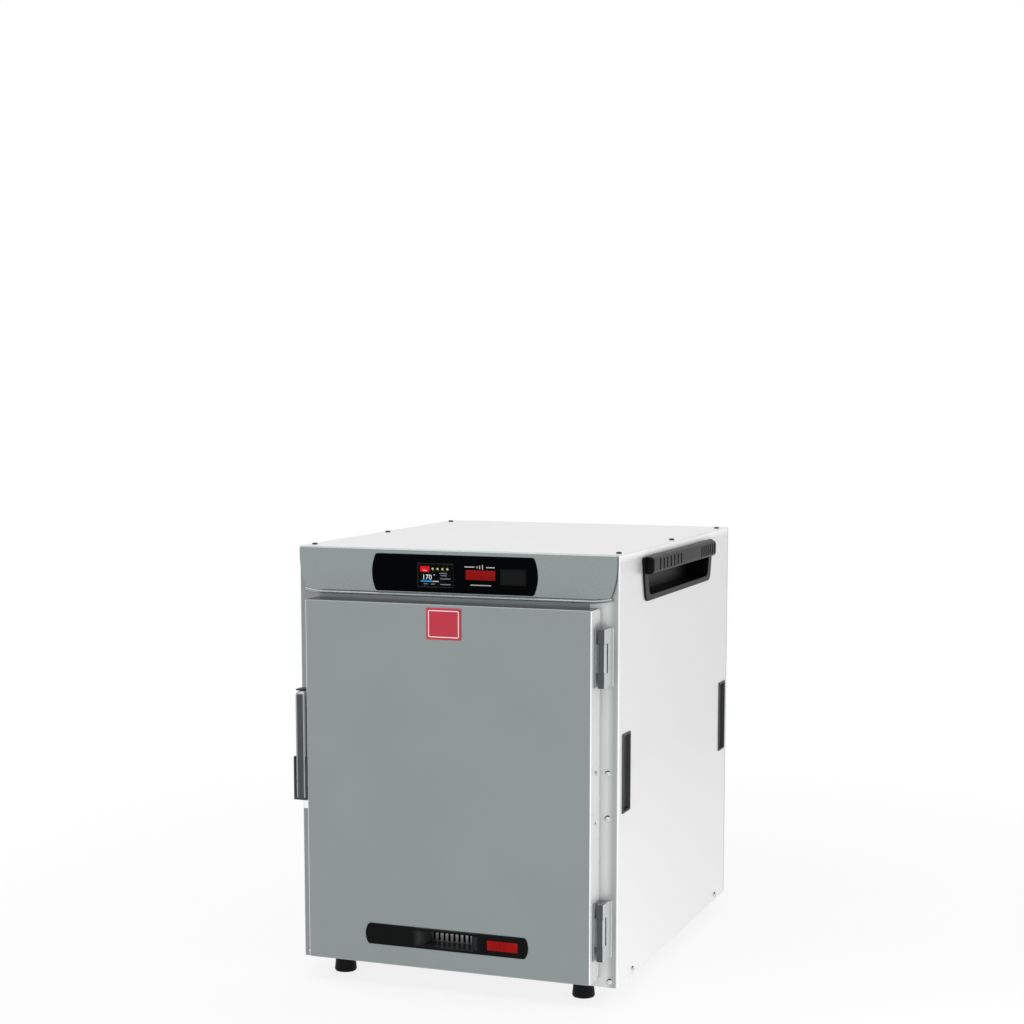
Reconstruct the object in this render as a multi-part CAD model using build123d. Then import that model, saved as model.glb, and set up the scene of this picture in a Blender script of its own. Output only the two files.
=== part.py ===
from build123d import *
import os
from math import atan2, cos, degrees, hypot, radians, sin, tan

# Heated holding cabinet, in millimetres.
# It is laid out with the front frame's face on Y = 0, the underside of the casing on Z = 0 and the
# middle on X = 0, the door facing -Y. Every piece is moved once, as it is written, so that the
# finished part stands on Z = 0 with its footprint centred on the origin.

# Casing
body_width = 610.0
body_depth = 736.0
body_height = 764.3
sheet = 1.2
casing_bend = 4.0
side_wall = 54.0
top_flange = 25.0
rear_flange = 20.0
bottom_flange = 25.0
base_wall_height = 28.0
sill_height = 45.0
sill_return = 7.0
service_height = 89.7
roof_insulation = 32.6
rear_insulation = 34.0
floor_batt_gap = 10.0
pocket_grip = 1.0
liner_flange = 12.0

# Gaps
seam = 0.2
running = 0.3
past = 1.0  # how far a cut, or a stem that is joined on, reaches past the face it meets
shaft_play = 0.05

# Header
header_proud = 6.0
header_sheet = 1.5
header_drop = 0.3
header_height = 79.5
header_inset = 2.0
header_sweep = 12.0
header_sweep_height = 61.0
header_corner_rise = 4.5
header_flat_end = 50.0
header_edge_round = 3.0
header_top_corner = 5.0
header_hem_radius = 2.9
header_hem_drop = 2.2
header_hem_depth = 4.0
header_window_half = 150.0
header_window_inset = 11.0
header_window_corner = 4.0
rail_window_margin = 2.0

# Door
stile_reveal = 34.5
door_bottom = 14.5
header_gap = 11.5
door_front = 50.0
door_gap = 6.4
door_sheet = 1.2
door_edge_round = 2.5
door_return = 15.0
gasket_width = 13.0
gasket_inset = 1.0
gasket_corner = 6.0
door_batt_gap = 3.0

# Hinges
hinge_length = 101.6
hinge_middle_knuckle = 50.8
upper_hinge_drop = 84.7
lower_hinge_rise = 92.3
hinge_axis_reach = 13.5
hinge_axis_y = -29.5
knuckle_width = 12.0
knuckle_depth = 17.0
knuckle_round = 1.2
door_knuckle_back = 2.0
hinge_pin_radius = 3.0
hinge_leaf = 2.5
leaf_round = 1.2
frame_leaf_reach = 11.0
door_leaf = 3.0
door_leaf_depth = 27.5
hinge_web = 5.4
door_web = (-5.0, 4.0)
weld = 0.5

# Latch
latch_rise = 330.5
latch_housing_drop = 40.0
latch_housing_height = 80.0
latch_reach = 27.0
latch_wall = 3.3
latch_back = 8.0
latch_plate_height = 108.0
latch_plate_depth = 20.0
latch_plate_thickness = 2.4
latch_back_wall = 2.5
latch_plate_corner = 4.0
latch_box_round = 1.5
latch_screw_pitch = 90.0
latch_screw_y = -24.0
latch_plate_drop = 3.0
door_screw_bed = 6.0
door_screw_room = 12.0
flat_head_radius = 3.6
flat_head_height = 1.0
blank_head_height = 2.0
blank_head_round = 1.4
lever_front = 54.0
lever_depth = 30.0
lever_wall = 3.0
lever_rise = 160.0
lever_clearance = 0.5
lever_foot_gap = 1.2
lever_top_round = 8.0
lever_outer_round = 9.0
lever_inner_round = 1.5
lever_pivot_y = -46.0
lever_pin_radius = 2.5
lever_cap = 3.0
lever_cap_setback = 9.0
lever_cap_round = 1.2
spring_wire_radius = 0.5
spring_turns = 5
spring_leg_lean = 60.0
spring_end_gap = 2.8
magnet_thickness = 4.2
magnet_width = 16.0
magnet_height = 40.0
strike_width = 29.0
strike_height = 128.0
strike_thickness = 3.0
strike_corner = 3.0
strike_edge_round = 0.8
strike_inset = 16.5
frame_screw_inset = 19.5
frame_screw_drop = 1.5
frame_screw_pitch = 79.6

# Door vent
vent_z = 70.0
vent_half_length = 150.0
vent_end_bulge = 6.0
vent_height = 38.0
vent_proud = 3.0
throat_half_front = 62.0
throat_half_back = 44.0
throat_height = 28.0
throat_wall = 2.0
throat_round = 23.0
throat_tail = 2.2
vent_corner = 6.0
vent_edge_round = 1.5
vent_pitch = 9.7
vent_slot = 4.5
vent_slot_count = 9
vent_knob_x = 109.0
vent_knob_length = 57.0
vent_knob_height = 17.5
vent_knob_proud = 3.0
stem_width = 8.0
stem_height = 6.0
stem_room = 0.6
stem_room_wide = 1.5
knob_rib = 2.4
knob_rib_inset = 0.5
knob_rib_proud = 1.2
knob_recess = 1.4
knob_recess_corner = 2.0
knob_room = 1.5
knob_gap = 1.0
knob_edge_round = 0.8
shutter_margin = 4.0
shutter_lap = 1.0

# Badge
badge_width = 66.0
badge_height = 56.0
badge_drop = 34.5
badge_x = -1.5
badge_thickness = 1.2
badge_corner = 3.0
badge_edge_round = 0.4

# Control panel
panel_half_length = 150.0
panel_end_bulge = 7.5
panel_height = 67.0
panel_drop = 8.3
panel_thickness = 1.8
panel_rib = 1.2
panel_corner = 6.0
panel_edge_round = 0.6
glass_inset = 0.2
display_x = -35.2
display_width = 69.6
display_height = 43.0
display_drop = 44.8
glass_thickness = 1.4
board_left = -140.0
board_right = 8.0
board_inset = 10.0
board_thickness = 1.6
relay_width = 18.0
relay_height = 24.0
relay_depth = 14.0
relay_pitch = 24.0
relay_count = 2
transformer_size = 34.0
transformer_depth = 22.0
board_part_margin = 6.0
capacitor_radius = 4.0
capacitor_length = 11.0
capacitor_pitch = 12.0
capacitor_drop = 7.0
capacitor_count = 3
terminal_pitch = 9.0
terminal_depth = 10.0
terminal_height = 12.0
terminal_rise = 14.0
display_module_depth = 8.0
display_module_margin = 0.5
humidity_knob_x = 52.0
humidity_knob_length = 55.3
humidity_knob_height = 17.0
humidity_knob_proud = 4.0
humidity_travel = 9.7
humidity_slot = 9.0
humidity_slot_count = 3
humidity_slot_height = 36.0
humidity_duct_width = 68.0
humidity_duct_depth = 40.0
humidity_duct_rise = 26.0
humidity_duct_y = 12.8
humidity_shutter_height = 46.0
switch_x = 112.35
switch_drop = 2.0
switch_width = 48.7
switch_height = 28.0
switch_frame = 1.6
switch_depth = 14.0
rocker_tilt = 6.0
rocker_axis_y = -3.0
rocker_rise = 7.2
rocker_saddle = 5.2
rocker_heel = 2.0
rocker_foot = 6.0
rocker_end_gap = 0.1
switch_floor = 1.5

# Side handles
handle_drop = 14.3
handle_height = 80.5
handle_front_y = 127.0
handle_rear_gap = 132.0
handle_taper = 20.0
handle_corner = 18.0
handle_top_corner = 6.0
handle_bezel = 3.3
handle_bezel_round = 1.5
handle_border = 22.0
handle_foot_border = 10.0
handle_pocket_depth = 38.0
handle_wall = 2.5
handle_bar_height = 31.0
handle_bar_front_inset = 19.0
handle_bar_rear_inset = 31.0
handle_bar_proud = 18.0
handle_bar_thickness = 14.0
handle_bar_round = 8.0
handle_bar_end_round = 2.0
handle_groove_width = 7.0
handle_groove_height = 20.0
handle_groove_depth = 1.8
handle_groove_count = 7
front_groove_inset = 39.0
front_groove_pitch = 23.0
rear_groove_inset = 14.0
rear_groove_pitch = 15.5

# Side recess cups
cup_front_y = 19.4
cup_rear_inset = 61.7
cup_length = 46.4
cup_sink = 73.65
cup_height = 141.5
cup_bezel = 1.5
cup_bezel_round = 0.8
cup_depth = 8.5
cup_wall = 2.0
cup_border = 4.0
cup_corner = 3.0
cup_inner_corner = 2.0

# Feet
foot_side_inset = 71.4
foot_inset = 27.0
foot_height = 28.0
foot_top_radius = 18.25
foot_bottom_radius = 20.5
foot_collar = 5.0
foot_skirt = 3.0
foot_edge = 1.5
foot_bolt_radius = 4.0
foot_well_radius = 9.0
foot_well_depth = 12.0
foot_head_height = 5.5
foot_nut_height = 6.5
foot_hex_radius = 7.2
foot_thread_end = 9.0

# Screws
screw_head_radius = 5.2
screw_head_height = 2.8
screw_radius = 2.0
screw_length = 9.0
dome_share = 0.8
drive_share = 0.7
top_screw_inset = 13.5
top_screw_front_y = 36.0
top_screw_middle_shift = -4.0
top_screw_rear_inset = 43.0
side_screw_front_y = 90.0
side_screw_rear_inset = 75.0
bottom_screw_z = 11.2
bottom_screw_inset = 14.0

# Pan slides
slide_pitch = 76.2
slide_first_z = 80.0
slide_head_room = 30.0
runner_play = 20.8
ledge_width = 18.0
runner_sheet = 1.5
runner_drop = 20.0
runner_front_y = 12.0
runner_rear_gap = 17.8
upright_width = 20.0
upright_front_y = 80.0
upright_rear_inset = 92.0
upright_rise = 30.0

# Air system
plenum_height = 45.0
plenum_front_y = 62.0
rear_duct_depth = 28.0
air_slot_length = 70.0
air_slot_height = 9.0
air_slot_columns = (-150.0, -50.0, 50.0, 150.0)
air_slot_first = 60.0
air_slot_pitch = 80.0
fan_shift = -28.0
fan_inlet_radius = 72.0
guard_wire = 2.4
guard_ring_count = 4
guard_margin = 6.0
guard_spokes = (0, 45, 90, 135)
impeller_radius = 58.0
impeller_height = 22.0
impeller_clearance = 6.0
impeller_disc = 1.5
impeller_hub_radius = 12.0
shaft_grip = 0.02
blade_count = 10
blade_thickness = 1.6
blade_root = (26.0, 0.0)
blade_bow = (41.0, 9.0)
blade_tip_rise = 10.0
shaft_radius = 4.0
shaft_end = 2.0
motor_radius = 42.0
motor_height = 52.0
motor_seat = 4.0
motor_round = 5.0
motor_flange = 104.0
motor_flange_corner = 10.0
motor_bore_share = 0.6
motor_lead_share = 0.4
element_radius = 84.0
element_tube = 4.2
element_end_x = 16.0
probe_x = 120.0
probe_drop = 8.0
probe_reach = 14.0
probe_radius = 2.5
probe_flange = 3.0
riser_stub = 18.0

# Power inlet
inlet_side_inset = 100.0
inlet_drop = 46.0
inlet_width = 58.0
inlet_height = 34.0
inlet_proud = 3.2
inlet_flange = 2.9
inlet_corner = 4.0
inlet_body_corner = 3.0
inlet_edge_round = 1.0
inlet_depth = 34.0
inlet_well_width = 38.0
inlet_well_height = 20.0
inlet_well_depth = 14.0
inlet_pin_width = 2.0
inlet_pin_height = 8.0
inlet_pin_setback = 2.0
inlet_pins = ((-11.0, -2.0), (0.0, 3.0), (11.0, -2.0))
louvre_length = 36.0
louvre_width = 4.0
louvre_pitch = 11.0
louvre_count = 10
louvre_banks = (-130.0, 30.0)

# Leads
feed_radius = 3.5
lead_radius = 1.6
feed_run = 40.0
feed_lane_y = 100.0
board_turn_y = 50.0
heater_lane_gap = 40.0
heater_lead_rise = 15.0
heater_lead_fall = 60.0
heater_lane_y = 130.0
heater_turn_y = 60.0
motor_lead_run = 40.0
motor_lead_fall = 70.0
motor_lane_y = (180.0, 100.0)
bend_share = 0.45

# Levels and depths that follow from the sizes above
half_width = body_width / 2
opening_half = half_width - side_wall
door_half_width = half_width - stile_reveal
casing_back = body_depth - sheet - seam
casing_top = body_height - sheet - seam
inner_half = half_width - sheet - seam
deck_top = casing_top - service_height
deck_bottom = deck_top - sheet
lintel = deck_bottom - roof_insulation - 2 * seam
liner_back = casing_back - sheet - 2 * seam - rear_insulation
liner_front = sheet + seam
base_z = sheet + seam
floor_z = sill_height + sheet
ceiling_z = lintel - sheet
cavity_half = opening_half - sheet
cavity_back = liner_back - sheet
header_top = body_height - header_drop
header_foot = header_top - header_height
door_top = header_foot - header_gap
door_back = -door_gap - sheet
panel_top = header_top - panel_drop
panel_foot = panel_top - panel_height
panel_z = (panel_top + panel_foot) / 2
panel_front = -header_proud - seam - panel_thickness
vent_front = -door_front - seam - vent_proud
bar_face_x = half_width + handle_bar_proud
handle_top = body_height - handle_drop
handle_bottom = handle_top - handle_height
handle_back_y = body_depth - handle_rear_gap
hinge_axis_x = door_half_width + hinge_axis_reach
upper_hinge_z = door_top - upper_hinge_drop
lower_hinge_z = door_bottom + lower_hinge_rise
lever_pivot_z = door_bottom + latch_rise
latch_bottom = lever_pivot_z - latch_housing_drop
latch_plate_z = lever_pivot_z - latch_plate_drop
lever_top = lever_pivot_z + lever_rise
frame_screw_x = half_width - frame_screw_inset
frame_screw_z = lever_pivot_z - frame_screw_drop
strike_x = half_width - strike_inset
badge_z = door_top - badge_drop
cup_bottom = body_height / 2 - cup_sink
cup_fronts = (cup_front_y, body_depth - cup_rear_inset)
foot_x = half_width - foot_side_inset
inlet_x = half_width - inlet_side_inset
inlet_z = body_height - inlet_drop
plenum_z = ceiling_z - plenum_height
fan_y = body_depth / 2 + fan_shift
switch_z = panel_z - switch_drop


def block(x, y, z):
    """A box given by its low and high corner on each axis."""
    spans = (x, y, z)
    middle = [(low + high) / 2 for low, high in spans]
    return Pos(*middle) * Box(*[high - low for low, high in spans])


def rod(start, direction, length, radius):
    """A round bar from a point, along a direction."""
    seat = Plane(origin=start, z_dir=direction)
    return seat * Cylinder(radius, length, align=(Align.CENTER, Align.CENTER, Align.MIN))


def facing_front(face, front, back):
    """A solid from an outline drawn in X and Z, between two depths."""
    return extrude(Plane.XZ.offset(-back) * face, back - front)


def facing_side(face, low, high):
    """A solid from an outline drawn in Y and Z, between two X positions."""
    return extrude(Plane.YZ.offset(low) * face, high - low)


def facing_up(face, low, high):
    """A solid from an outline drawn in X and Y, between two heights."""
    return extrude(Plane.XY.offset(low) * face, high - low)


def window(u, v, corner=0.0):
    """A rectangle outline from its spans, with rounded corners where a radius is given."""
    size = (u[1] - u[0], v[1] - v[0])
    shape = RectangleRounded(*size, corner) if corner else Rectangle(*size)
    return Pos((u[0] + u[1]) / 2, (v[0] + v[1]) / 2) * shape


def around(middle, size):
    """The span of a given size about its middle."""
    return (middle - size / 2, middle + size / 2)


def other_side(shape):
    return shape.mirror(Plane.YZ)


def on_both_sides(shapes):
    return [*shapes, *[other_side(shape) for shape in shapes]]


def group(shapes):
    return Compound(children=list(shapes))


def dome_screw(seat, direction):
    """A domed screw: its head stands on the seat, and its shank runs into the sheet behind."""
    head = Cylinder(screw_head_radius, screw_head_height, align=(Align.CENTER, Align.CENTER, Align.MIN))
    head = fillet(head.edges().group_by(Axis.Z)[-1], screw_head_height * dome_share)
    drive = Pos(0, 0, screw_head_height) * Cylinder(screw_radius * drive_share, screw_head_height)
    shank = Cylinder(screw_radius, screw_length, align=(Align.CENTER, Align.CENTER, Align.MAX))
    return Plane(origin=seat, z_dir=direction) * (head - drive + shank)


def screw_hole(seat, direction):
    """The clearance hole of a domed screw, through whatever lies within its length."""
    back = [place - way * screw_length for place, way in zip(seat, direction)]
    return rod(back, direction, 2 * screw_length, screw_radius + shaft_play)


# Screw places on the casing, as seat and outward direction
def mirrored_seats(x, y, z):
    return [(side * x, y, z) for side in (-1, 1)]


top_screw_ys = (
    top_screw_front_y,
    body_depth / 2 + top_screw_middle_shift,
    body_depth - top_screw_rear_inset,
)
side_screw_ys = (side_screw_front_y, body_depth - side_screw_rear_inset)
top_seats = [
    seat for y in top_screw_ys for seat in mirrored_seats(half_width - top_screw_inset, y, body_height)
]
side_seats = [seat for y in side_screw_ys for seat in mirrored_seats(half_width, y, bottom_screw_z)]
corner_seats = mirrored_seats(half_width - bottom_screw_inset, 0.0, bottom_screw_z)
strike_levels = around(frame_screw_z, frame_screw_pitch)
blank_seats = [(frame_screw_x, 0.0, z) for z in strike_levels]
strike_seats = [(-frame_screw_x, -seam - strike_thickness, z) for z in strike_levels]
back_seats = [
    seat
    for z in (bottom_screw_z + base_wall_height, body_height / 2, casing_top - top_flange)
    for seat in mirrored_seats(half_width - rear_flange / 2, body_depth, z)
]


# Side handle outlines, in Y and Z
def handle_outline(border, foot_border):
    """The tapered handle plate, drawn in by a border at its ends and at its top and foot."""
    low = handle_bottom + foot_border
    high = handle_top - foot_border
    slope = handle_taper / (handle_top - handle_bottom)
    ends = []
    for z in (low, high):
        shift = (handle_top - z) * slope + border
        ends.append((handle_front_y + shift, handle_back_y - shift, z))
    (front_low, back_low, _), (front_high, back_high, _) = ends
    corners = [(front_low, low), (back_low, low), (back_high, high), (front_high, high)]
    face = make_face(Polyline(*corners, close=True))
    face = fillet(face.vertices().sort_by(Axis.Y)[:2], handle_corner)
    return fillet(face.vertices().group_by(Axis.Y)[-1], handle_top_corner)


def cup_spans(front):
    return (front, front + cup_length), (cup_bottom, cup_bottom + cup_height)


def cup_outline(front, border, corner=cup_corner):
    (y_low, y_high), (z_low, z_high) = cup_spans(front)
    return window((y_low + border, y_high - border), (z_low + border, z_high - border), corner)


# Casing
def right_side_panel():
    outer = block((opening_half, half_width), (0, casing_back), (0, casing_top))
    outer = fillet(outer.edges().filter_by(Axis.Z).group_by(Axis.X)[-1], casing_bend)
    hollow = block(
        (opening_half - sheet, half_width - sheet),
        (sheet, casing_back - sheet),
        (sheet, casing_top - sheet),
    )
    hollow = fillet(hollow.edges().filter_by(Axis.Z).group_by(Axis.X)[-1], casing_bend - sheet)
    panel = outer - hollow
    inside = opening_half - sheet
    above = (casing_top - 2 * sheet, casing_top + sheet)
    below = (-sheet, 2 * sheet)
    panel -= block((inside, half_width - top_flange), (sheet, casing_back + sheet), above)
    panel -= block((inside, half_width - bottom_flange), (sheet, casing_back + sheet), below)
    rear = (casing_back - 2 * sheet, casing_back + sheet)
    panel -= block((inside, half_width - rear_flange), rear, (-sheet, casing_top + sheet))
    through = (half_width - 2 * sheet, half_width + sheet)
    hole_inset = handle_wall + seam
    panel -= facing_side(handle_outline(handle_border - hole_inset, handle_foot_border - hole_inset), *through)
    for front in cup_fronts:
        panel -= facing_side(cup_outline(front, cup_border - cup_wall - seam), *through)
    for seat in top_seats:
        panel -= screw_hole(seat, (0, 0, 1))
    for seat in side_seats:
        panel -= screw_hole(seat, (1, 0, 0))
    for seat in corner_seats + blank_seats:
        panel -= screw_hole(seat, (0, -1, 0))
    for seat in back_seats:
        panel -= screw_hole(seat, (0, 1, 0))
    return panel


def top_panel():
    panel = block((-half_width, half_width), (0, body_depth), (casing_top + seam, body_height))
    panel = fillet(panel.edges().filter_by(Axis.Z), casing_bend)
    for seat in top_seats:
        panel -= screw_hole(seat, (0, 0, 1))
    return panel


def inlet_span(inset=0.0):
    return around(inlet_x, inlet_width - 2 * inset), around(inlet_z, inlet_height - 2 * inset)


def back_panel():
    x_span = (-half_width + seam, half_width - seam)
    panel = block(x_span, (casing_back + seam, body_depth), (base_z, casing_top))
    hole = window(*inlet_span(inlet_flange - seam), inlet_body_corner)
    panel -= facing_front(hole, casing_back, body_depth + sheet)
    louvre = Pos(0, inlet_z) * SlotOverall(louvre_length, louvre_width, rotation=90)
    for bank in louvre_banks:
        for number in range(louvre_count):
            slot = Pos(bank + number * louvre_pitch, 0) * louvre
            panel -= facing_front(slot, casing_back, body_depth + sheet)
    for seat in back_seats:
        panel -= screw_hole(seat, (0, 1, 0))
    return panel


def foot_places():
    return [(x, y) for x in (-foot_x, foot_x) for y in (foot_inset, body_depth - foot_inset)]


def base_pan():
    back = casing_back - sheet - seam
    corner = casing_bend - sheet
    pan = block((-inner_half, inner_half), (liner_front, back), (base_z, base_z + base_wall_height))
    pan = fillet(pan.edges().filter_by(Axis.Z), corner)
    hollow = block(
        (-inner_half + sheet, inner_half - sheet),
        (liner_front + sheet, back - sheet),
        (base_z + sheet, base_z + base_wall_height + sheet),
    )
    pan -= fillet(hollow.edges().filter_by(Axis.Z), corner - sheet)
    for x, y in foot_places():
        pan -= rod((x, y, 0), (0, 0, 1), 3 * sheet, foot_bolt_radius + shaft_play)
    for seat in side_seats:
        pan -= screw_hole(seat, (1, 0, 0))
    for seat in corner_seats:
        pan -= screw_hole(seat, (0, -1, 0))
    return pan


def lower_front_rail():
    span = (-opening_half + seam, opening_half - seam)
    return block(span, (0, sheet), (0, sill_height)) + block(span, (0, sill_return), (0, sheet))


def upper_front_rail():
    span = (-opening_half + seam, opening_half - seam)
    rail = block(span, (0, sheet), (lintel, casing_top))
    rail += block(span, (0, liner_flange), (casing_top - sheet, casing_top))
    inset = header_window_inset - rail_window_margin
    half = header_window_half + rail_window_margin
    hole = window((-half, half), (header_foot + inset, header_top - inset))
    return rail - facing_front(hole, -sheet, 2 * sheet)


def header_outline(inset=0.0):
    """The fascia seen from the front: straight top, swept-in ends and a lower edge that lifts."""
    half = half_width - header_inset - inset
    top = header_top - inset
    foot = header_foot + inset
    corner = (half - header_sweep, foot + header_corner_rise)
    sweep_top = (half, foot + header_corner_rise + header_sweep_height)
    flat_end = (half_width - header_flat_end - header_inset, foot)
    edges = [
        Line((0, top), (half, top)),
        Line((half, top), sweep_top),
        TangentArc(sweep_top, corner, tangent=(0, -1)),
        TangentArc(flat_end, corner, tangent=(1, 0)),
        Line((0, foot), flat_end),
        Line((0, foot), (0, top)),
    ]
    face = make_face(edges)
    tips = face.vertices().filter_by(lambda tip: tip.X > half - header_sweep - past)
    rounding = header_top_corner - inset
    return fillet([tip for tip in tips if abs(tip.Y - sweep_top[1]) > 1], rounding)


def header_hem():
    """The rolled lower edge of the fascia, from its middle to where the end starts to lift away."""
    level = header_foot - header_hem_drop
    flat_end = (half_width - header_flat_end - header_inset, level)
    tip = (half_width - header_inset - header_sweep, level + header_corner_rise)
    path = Plane.XZ.offset(header_hem_depth) * (
        Line((0, level), flat_end) + TangentArc(flat_end, tip, tangent=(1, 0))
    )
    hem = sweep(Plane(origin=path @ 0, z_dir=path % 0) * Circle(header_hem_radius), path=path)
    return hem + Pos(tip[0], -header_hem_depth, tip[1]) * Sphere(header_hem_radius)


def header_fascia():
    half = facing_front(header_outline(), -header_proud, -seam)
    shell = half + other_side(half)
    front_edges = shell.faces().sort_by(Axis.Y)[0].edges()
    shell = fillet(front_edges, header_edge_round)
    hem = header_hem()
    shell += hem + other_side(hem)
    hollow = facing_front(header_outline(header_sheet), -header_proud + header_sheet, sheet)
    shell -= hollow + other_side(hollow)
    opening = window(
        (-header_window_half, header_window_half),
        (header_foot + header_window_inset, header_top - header_window_inset),
        header_window_corner,
    )
    return shell - facing_front(opening, -header_proud - sheet, 0)


def cavity_liner():
    front_flange = block(
        (-opening_half - liner_flange, opening_half + liner_flange),
        (liner_front, liner_front + sheet),
        (sill_height - liner_flange, lintel + liner_flange),
    )
    box = block((-opening_half, opening_half), (liner_front, liner_back), (sill_height, lintel))
    shell = front_flange + box
    shell -= block((-cavity_half, cavity_half), (0, cavity_back), (floor_z, ceiling_z))
    return shell - roof_holes()


def duct_spans():
    y_span = (humidity_duct_y, humidity_duct_y + humidity_duct_depth)
    return around(humidity_knob_x, humidity_duct_width), y_span


def element_ends():
    """The two riser places of the ring heater, behind the fan."""
    return [(side * element_end_x, fan_y + element_radius) for side in (-1, 1)]


def roof_holes():
    """What passes the cavity's roof: the humidity duct, the fan shaft and the heater's risers."""
    duct_x, duct_y = duct_spans()
    low, high = lintel - 2 * sheet, deck_top + sheet
    grown = [(span[0] - seam, span[1] + seam) for span in (duct_x, duct_y)]
    cuts = block(*grown, (low, high))
    cuts += rod((0, fan_y, low), (0, 0, 1), high - low, 2 * shaft_radius)
    for x, y in element_ends():
        cuts += rod((x, y, low), (0, 0, 1), high - low, element_tube + seam)
    return cuts


def wall_insulation():
    wall_low = base_z + base_wall_height + seam
    side_span = (opening_half + seam, inner_half)
    deep = (liner_flange, casing_back - sheet - casing_bend)
    side = block(side_span, deep, (wall_low, deck_bottom - seam))
    for seat in back_seats:
        side -= screw_hole(seat, (0, 1, 0))
    for front in cup_fronts:
        spans = [(low + pocket_grip, high - pocket_grip) for low, high in cup_spans(front)]
        side -= block((half_width - cup_depth - seam, half_width), *spans)
    roof_span = (-opening_half, opening_half)
    roof = block(roof_span, (liner_flange, deep[1]), (lintel + seam, deck_bottom - seam)) - roof_holes()
    floor = block(roof_span, (liner_flange, deep[1]), (base_z + sheet + floor_batt_gap, sill_height - seam))
    rear = block(roof_span, (liner_back + seam, deep[1]), (sill_height, lintel))
    return group([side, other_side(side), roof, floor, rear])


def service_deck():
    deck = block((-inner_half, inner_half), (liner_front, casing_back - sheet - seam), (deck_bottom, deck_top))
    return fillet(deck.edges().filter_by(Axis.Z), casing_bend - sheet) - roof_holes()


def side_handle():
    """A moulded handle: plate, finger pocket behind it, and a grooved grip bar across its top."""
    plate_back = half_width + seam
    plate_front = plate_back + handle_bezel
    pocket_back = half_width - handle_pocket_depth
    plate = facing_side(handle_outline(0, 0), plate_back, plate_front)
    plate = fillet(plate.faces().sort_by(Axis.X)[-1].edges(), handle_bezel_round)
    cup_face = handle_outline(handle_border - handle_wall, handle_foot_border - handle_wall)
    cup = facing_side(cup_face, pocket_back, plate_back)
    bar_y = (handle_front_y + handle_bar_front_inset, handle_back_y - handle_bar_rear_inset)
    bar_z = (handle_top - handle_bar_height, handle_top)
    bar = block((plate_back, bar_face_x), bar_y, bar_z)
    bar = fillet(bar.edges().filter_by(Axis.Y).group_by(Axis.X)[-1], handle_bar_round)
    ends = bar.faces().filter_by(Axis.Y)
    rims = [edge for face in ends for edge in face.edges() if edge.center().X > plate_front]
    bar = fillet([rim for rim in rims if rim.center().X > bar_face_x - handle_bar_round], handle_bar_end_round)
    handle = plate + cup + bar
    pocket_face = handle_outline(handle_border, handle_foot_border)
    bar_back = bar_face_x - handle_bar_thickness
    handle -= facing_side(pocket_face, pocket_back + handle_wall, bar_back)
    under_bar = window((handle_front_y, handle_back_y), (handle_bottom, bar_z[0]))
    handle -= facing_side(pocket_face & under_bar, pocket_back + handle_wall, bar_face_x)
    groove_z = around((bar_z[0] + bar_z[1]) / 2, handle_groove_height)
    runs = (
        (bar_y[0] + front_groove_inset, front_groove_pitch),
        (bar_y[1] - rear_groove_inset, -rear_groove_pitch),
    )
    for start, step in runs:
        for number in range(handle_groove_count):
            groove_y = around(start + step * number, handle_groove_width)
            handle -= block((bar_face_x - handle_groove_depth, bar_face_x + past), groove_y, groove_z)
    return handle


def side_recess_cup(front):
    bezel_front = half_width + seam + cup_bezel
    back = half_width - cup_depth
    bezel = facing_side(cup_outline(front, 0), half_width + seam, bezel_front)
    bezel = fillet(bezel.faces().sort_by(Axis.X)[-1].edges(), cup_bezel_round)
    cup = bezel + facing_side(cup_outline(front, cup_border - cup_wall), back, half_width + seam)
    hollow = cup_outline(front, cup_border, cup_inner_corner)
    return cup - facing_side(hollow, back + cup_wall, bezel_front + past)


def rubber_foot(x, y):
    bore = foot_bolt_radius + seam
    well_top = -foot_height + foot_well_depth
    profile = [
        (bore, base_z),
        (foot_top_radius, base_z),
        (foot_top_radius, base_z - foot_collar),
        (foot_bottom_radius, -foot_height + foot_skirt),
        (foot_bottom_radius - foot_edge, -foot_height),
        (foot_well_radius, -foot_height),
        (foot_well_radius, well_top),
        (bore, well_top),
    ]
    return Pos(x, y) * revolve(Plane.XZ * make_face(Polyline(*profile, close=True)), Axis.Z)


def foot_bolt(x, y):
    seat = -foot_height + foot_well_depth - seam
    hexagon = RegularPolygon(foot_hex_radius, 6)
    head = Pos(x, y, seat - foot_head_height) * extrude(hexagon, foot_head_height)
    shank = rod((x, y, seat - past), (0, 0, 1), base_z + sheet + foot_thread_end - seat, foot_bolt_radius)
    nut = Pos(x, y, base_z + sheet + seam) * extrude(hexagon, foot_nut_height)
    return head + shank + nut


# Door
def throat_outline(grow=0.0):
    """The vent passage seen from above: its sides round over from the face into a straight duct."""
    back = (throat_half_back + grow, door_back - throat_tail)
    bend = (throat_half_back + grow, vent_front + throat_round)
    lip = (throat_half_front + grow, vent_front)
    edges = [
        Line((0, back[1]), back),
        Line(back, bend),
        TangentArc(bend, lip, tangent=(0, -1)),
        Line(lip, (0, vent_front)),
        Line((0, vent_front), (0, back[1])),
    ]
    half = make_face(edges)
    return half + mirror(half, about=Plane.YZ)


def throat_z(grow=0.0):
    return (vent_z - throat_height / 2 - grow, vent_z + throat_height / 2 + grow)


def vent_slots(front, back, shift=0.0):
    """The register's row of slots, as cutters."""
    start = shift - (vent_slot_count - 1) * vent_pitch / 2
    low, high = throat_z(-1)
    cutters = [
        block(around(start + number * vent_pitch, vent_slot), (front, back), (low, high))
        for number in range(vent_slot_count)
    ]
    return cutters[0].fuse(*cutters[1:])


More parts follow.
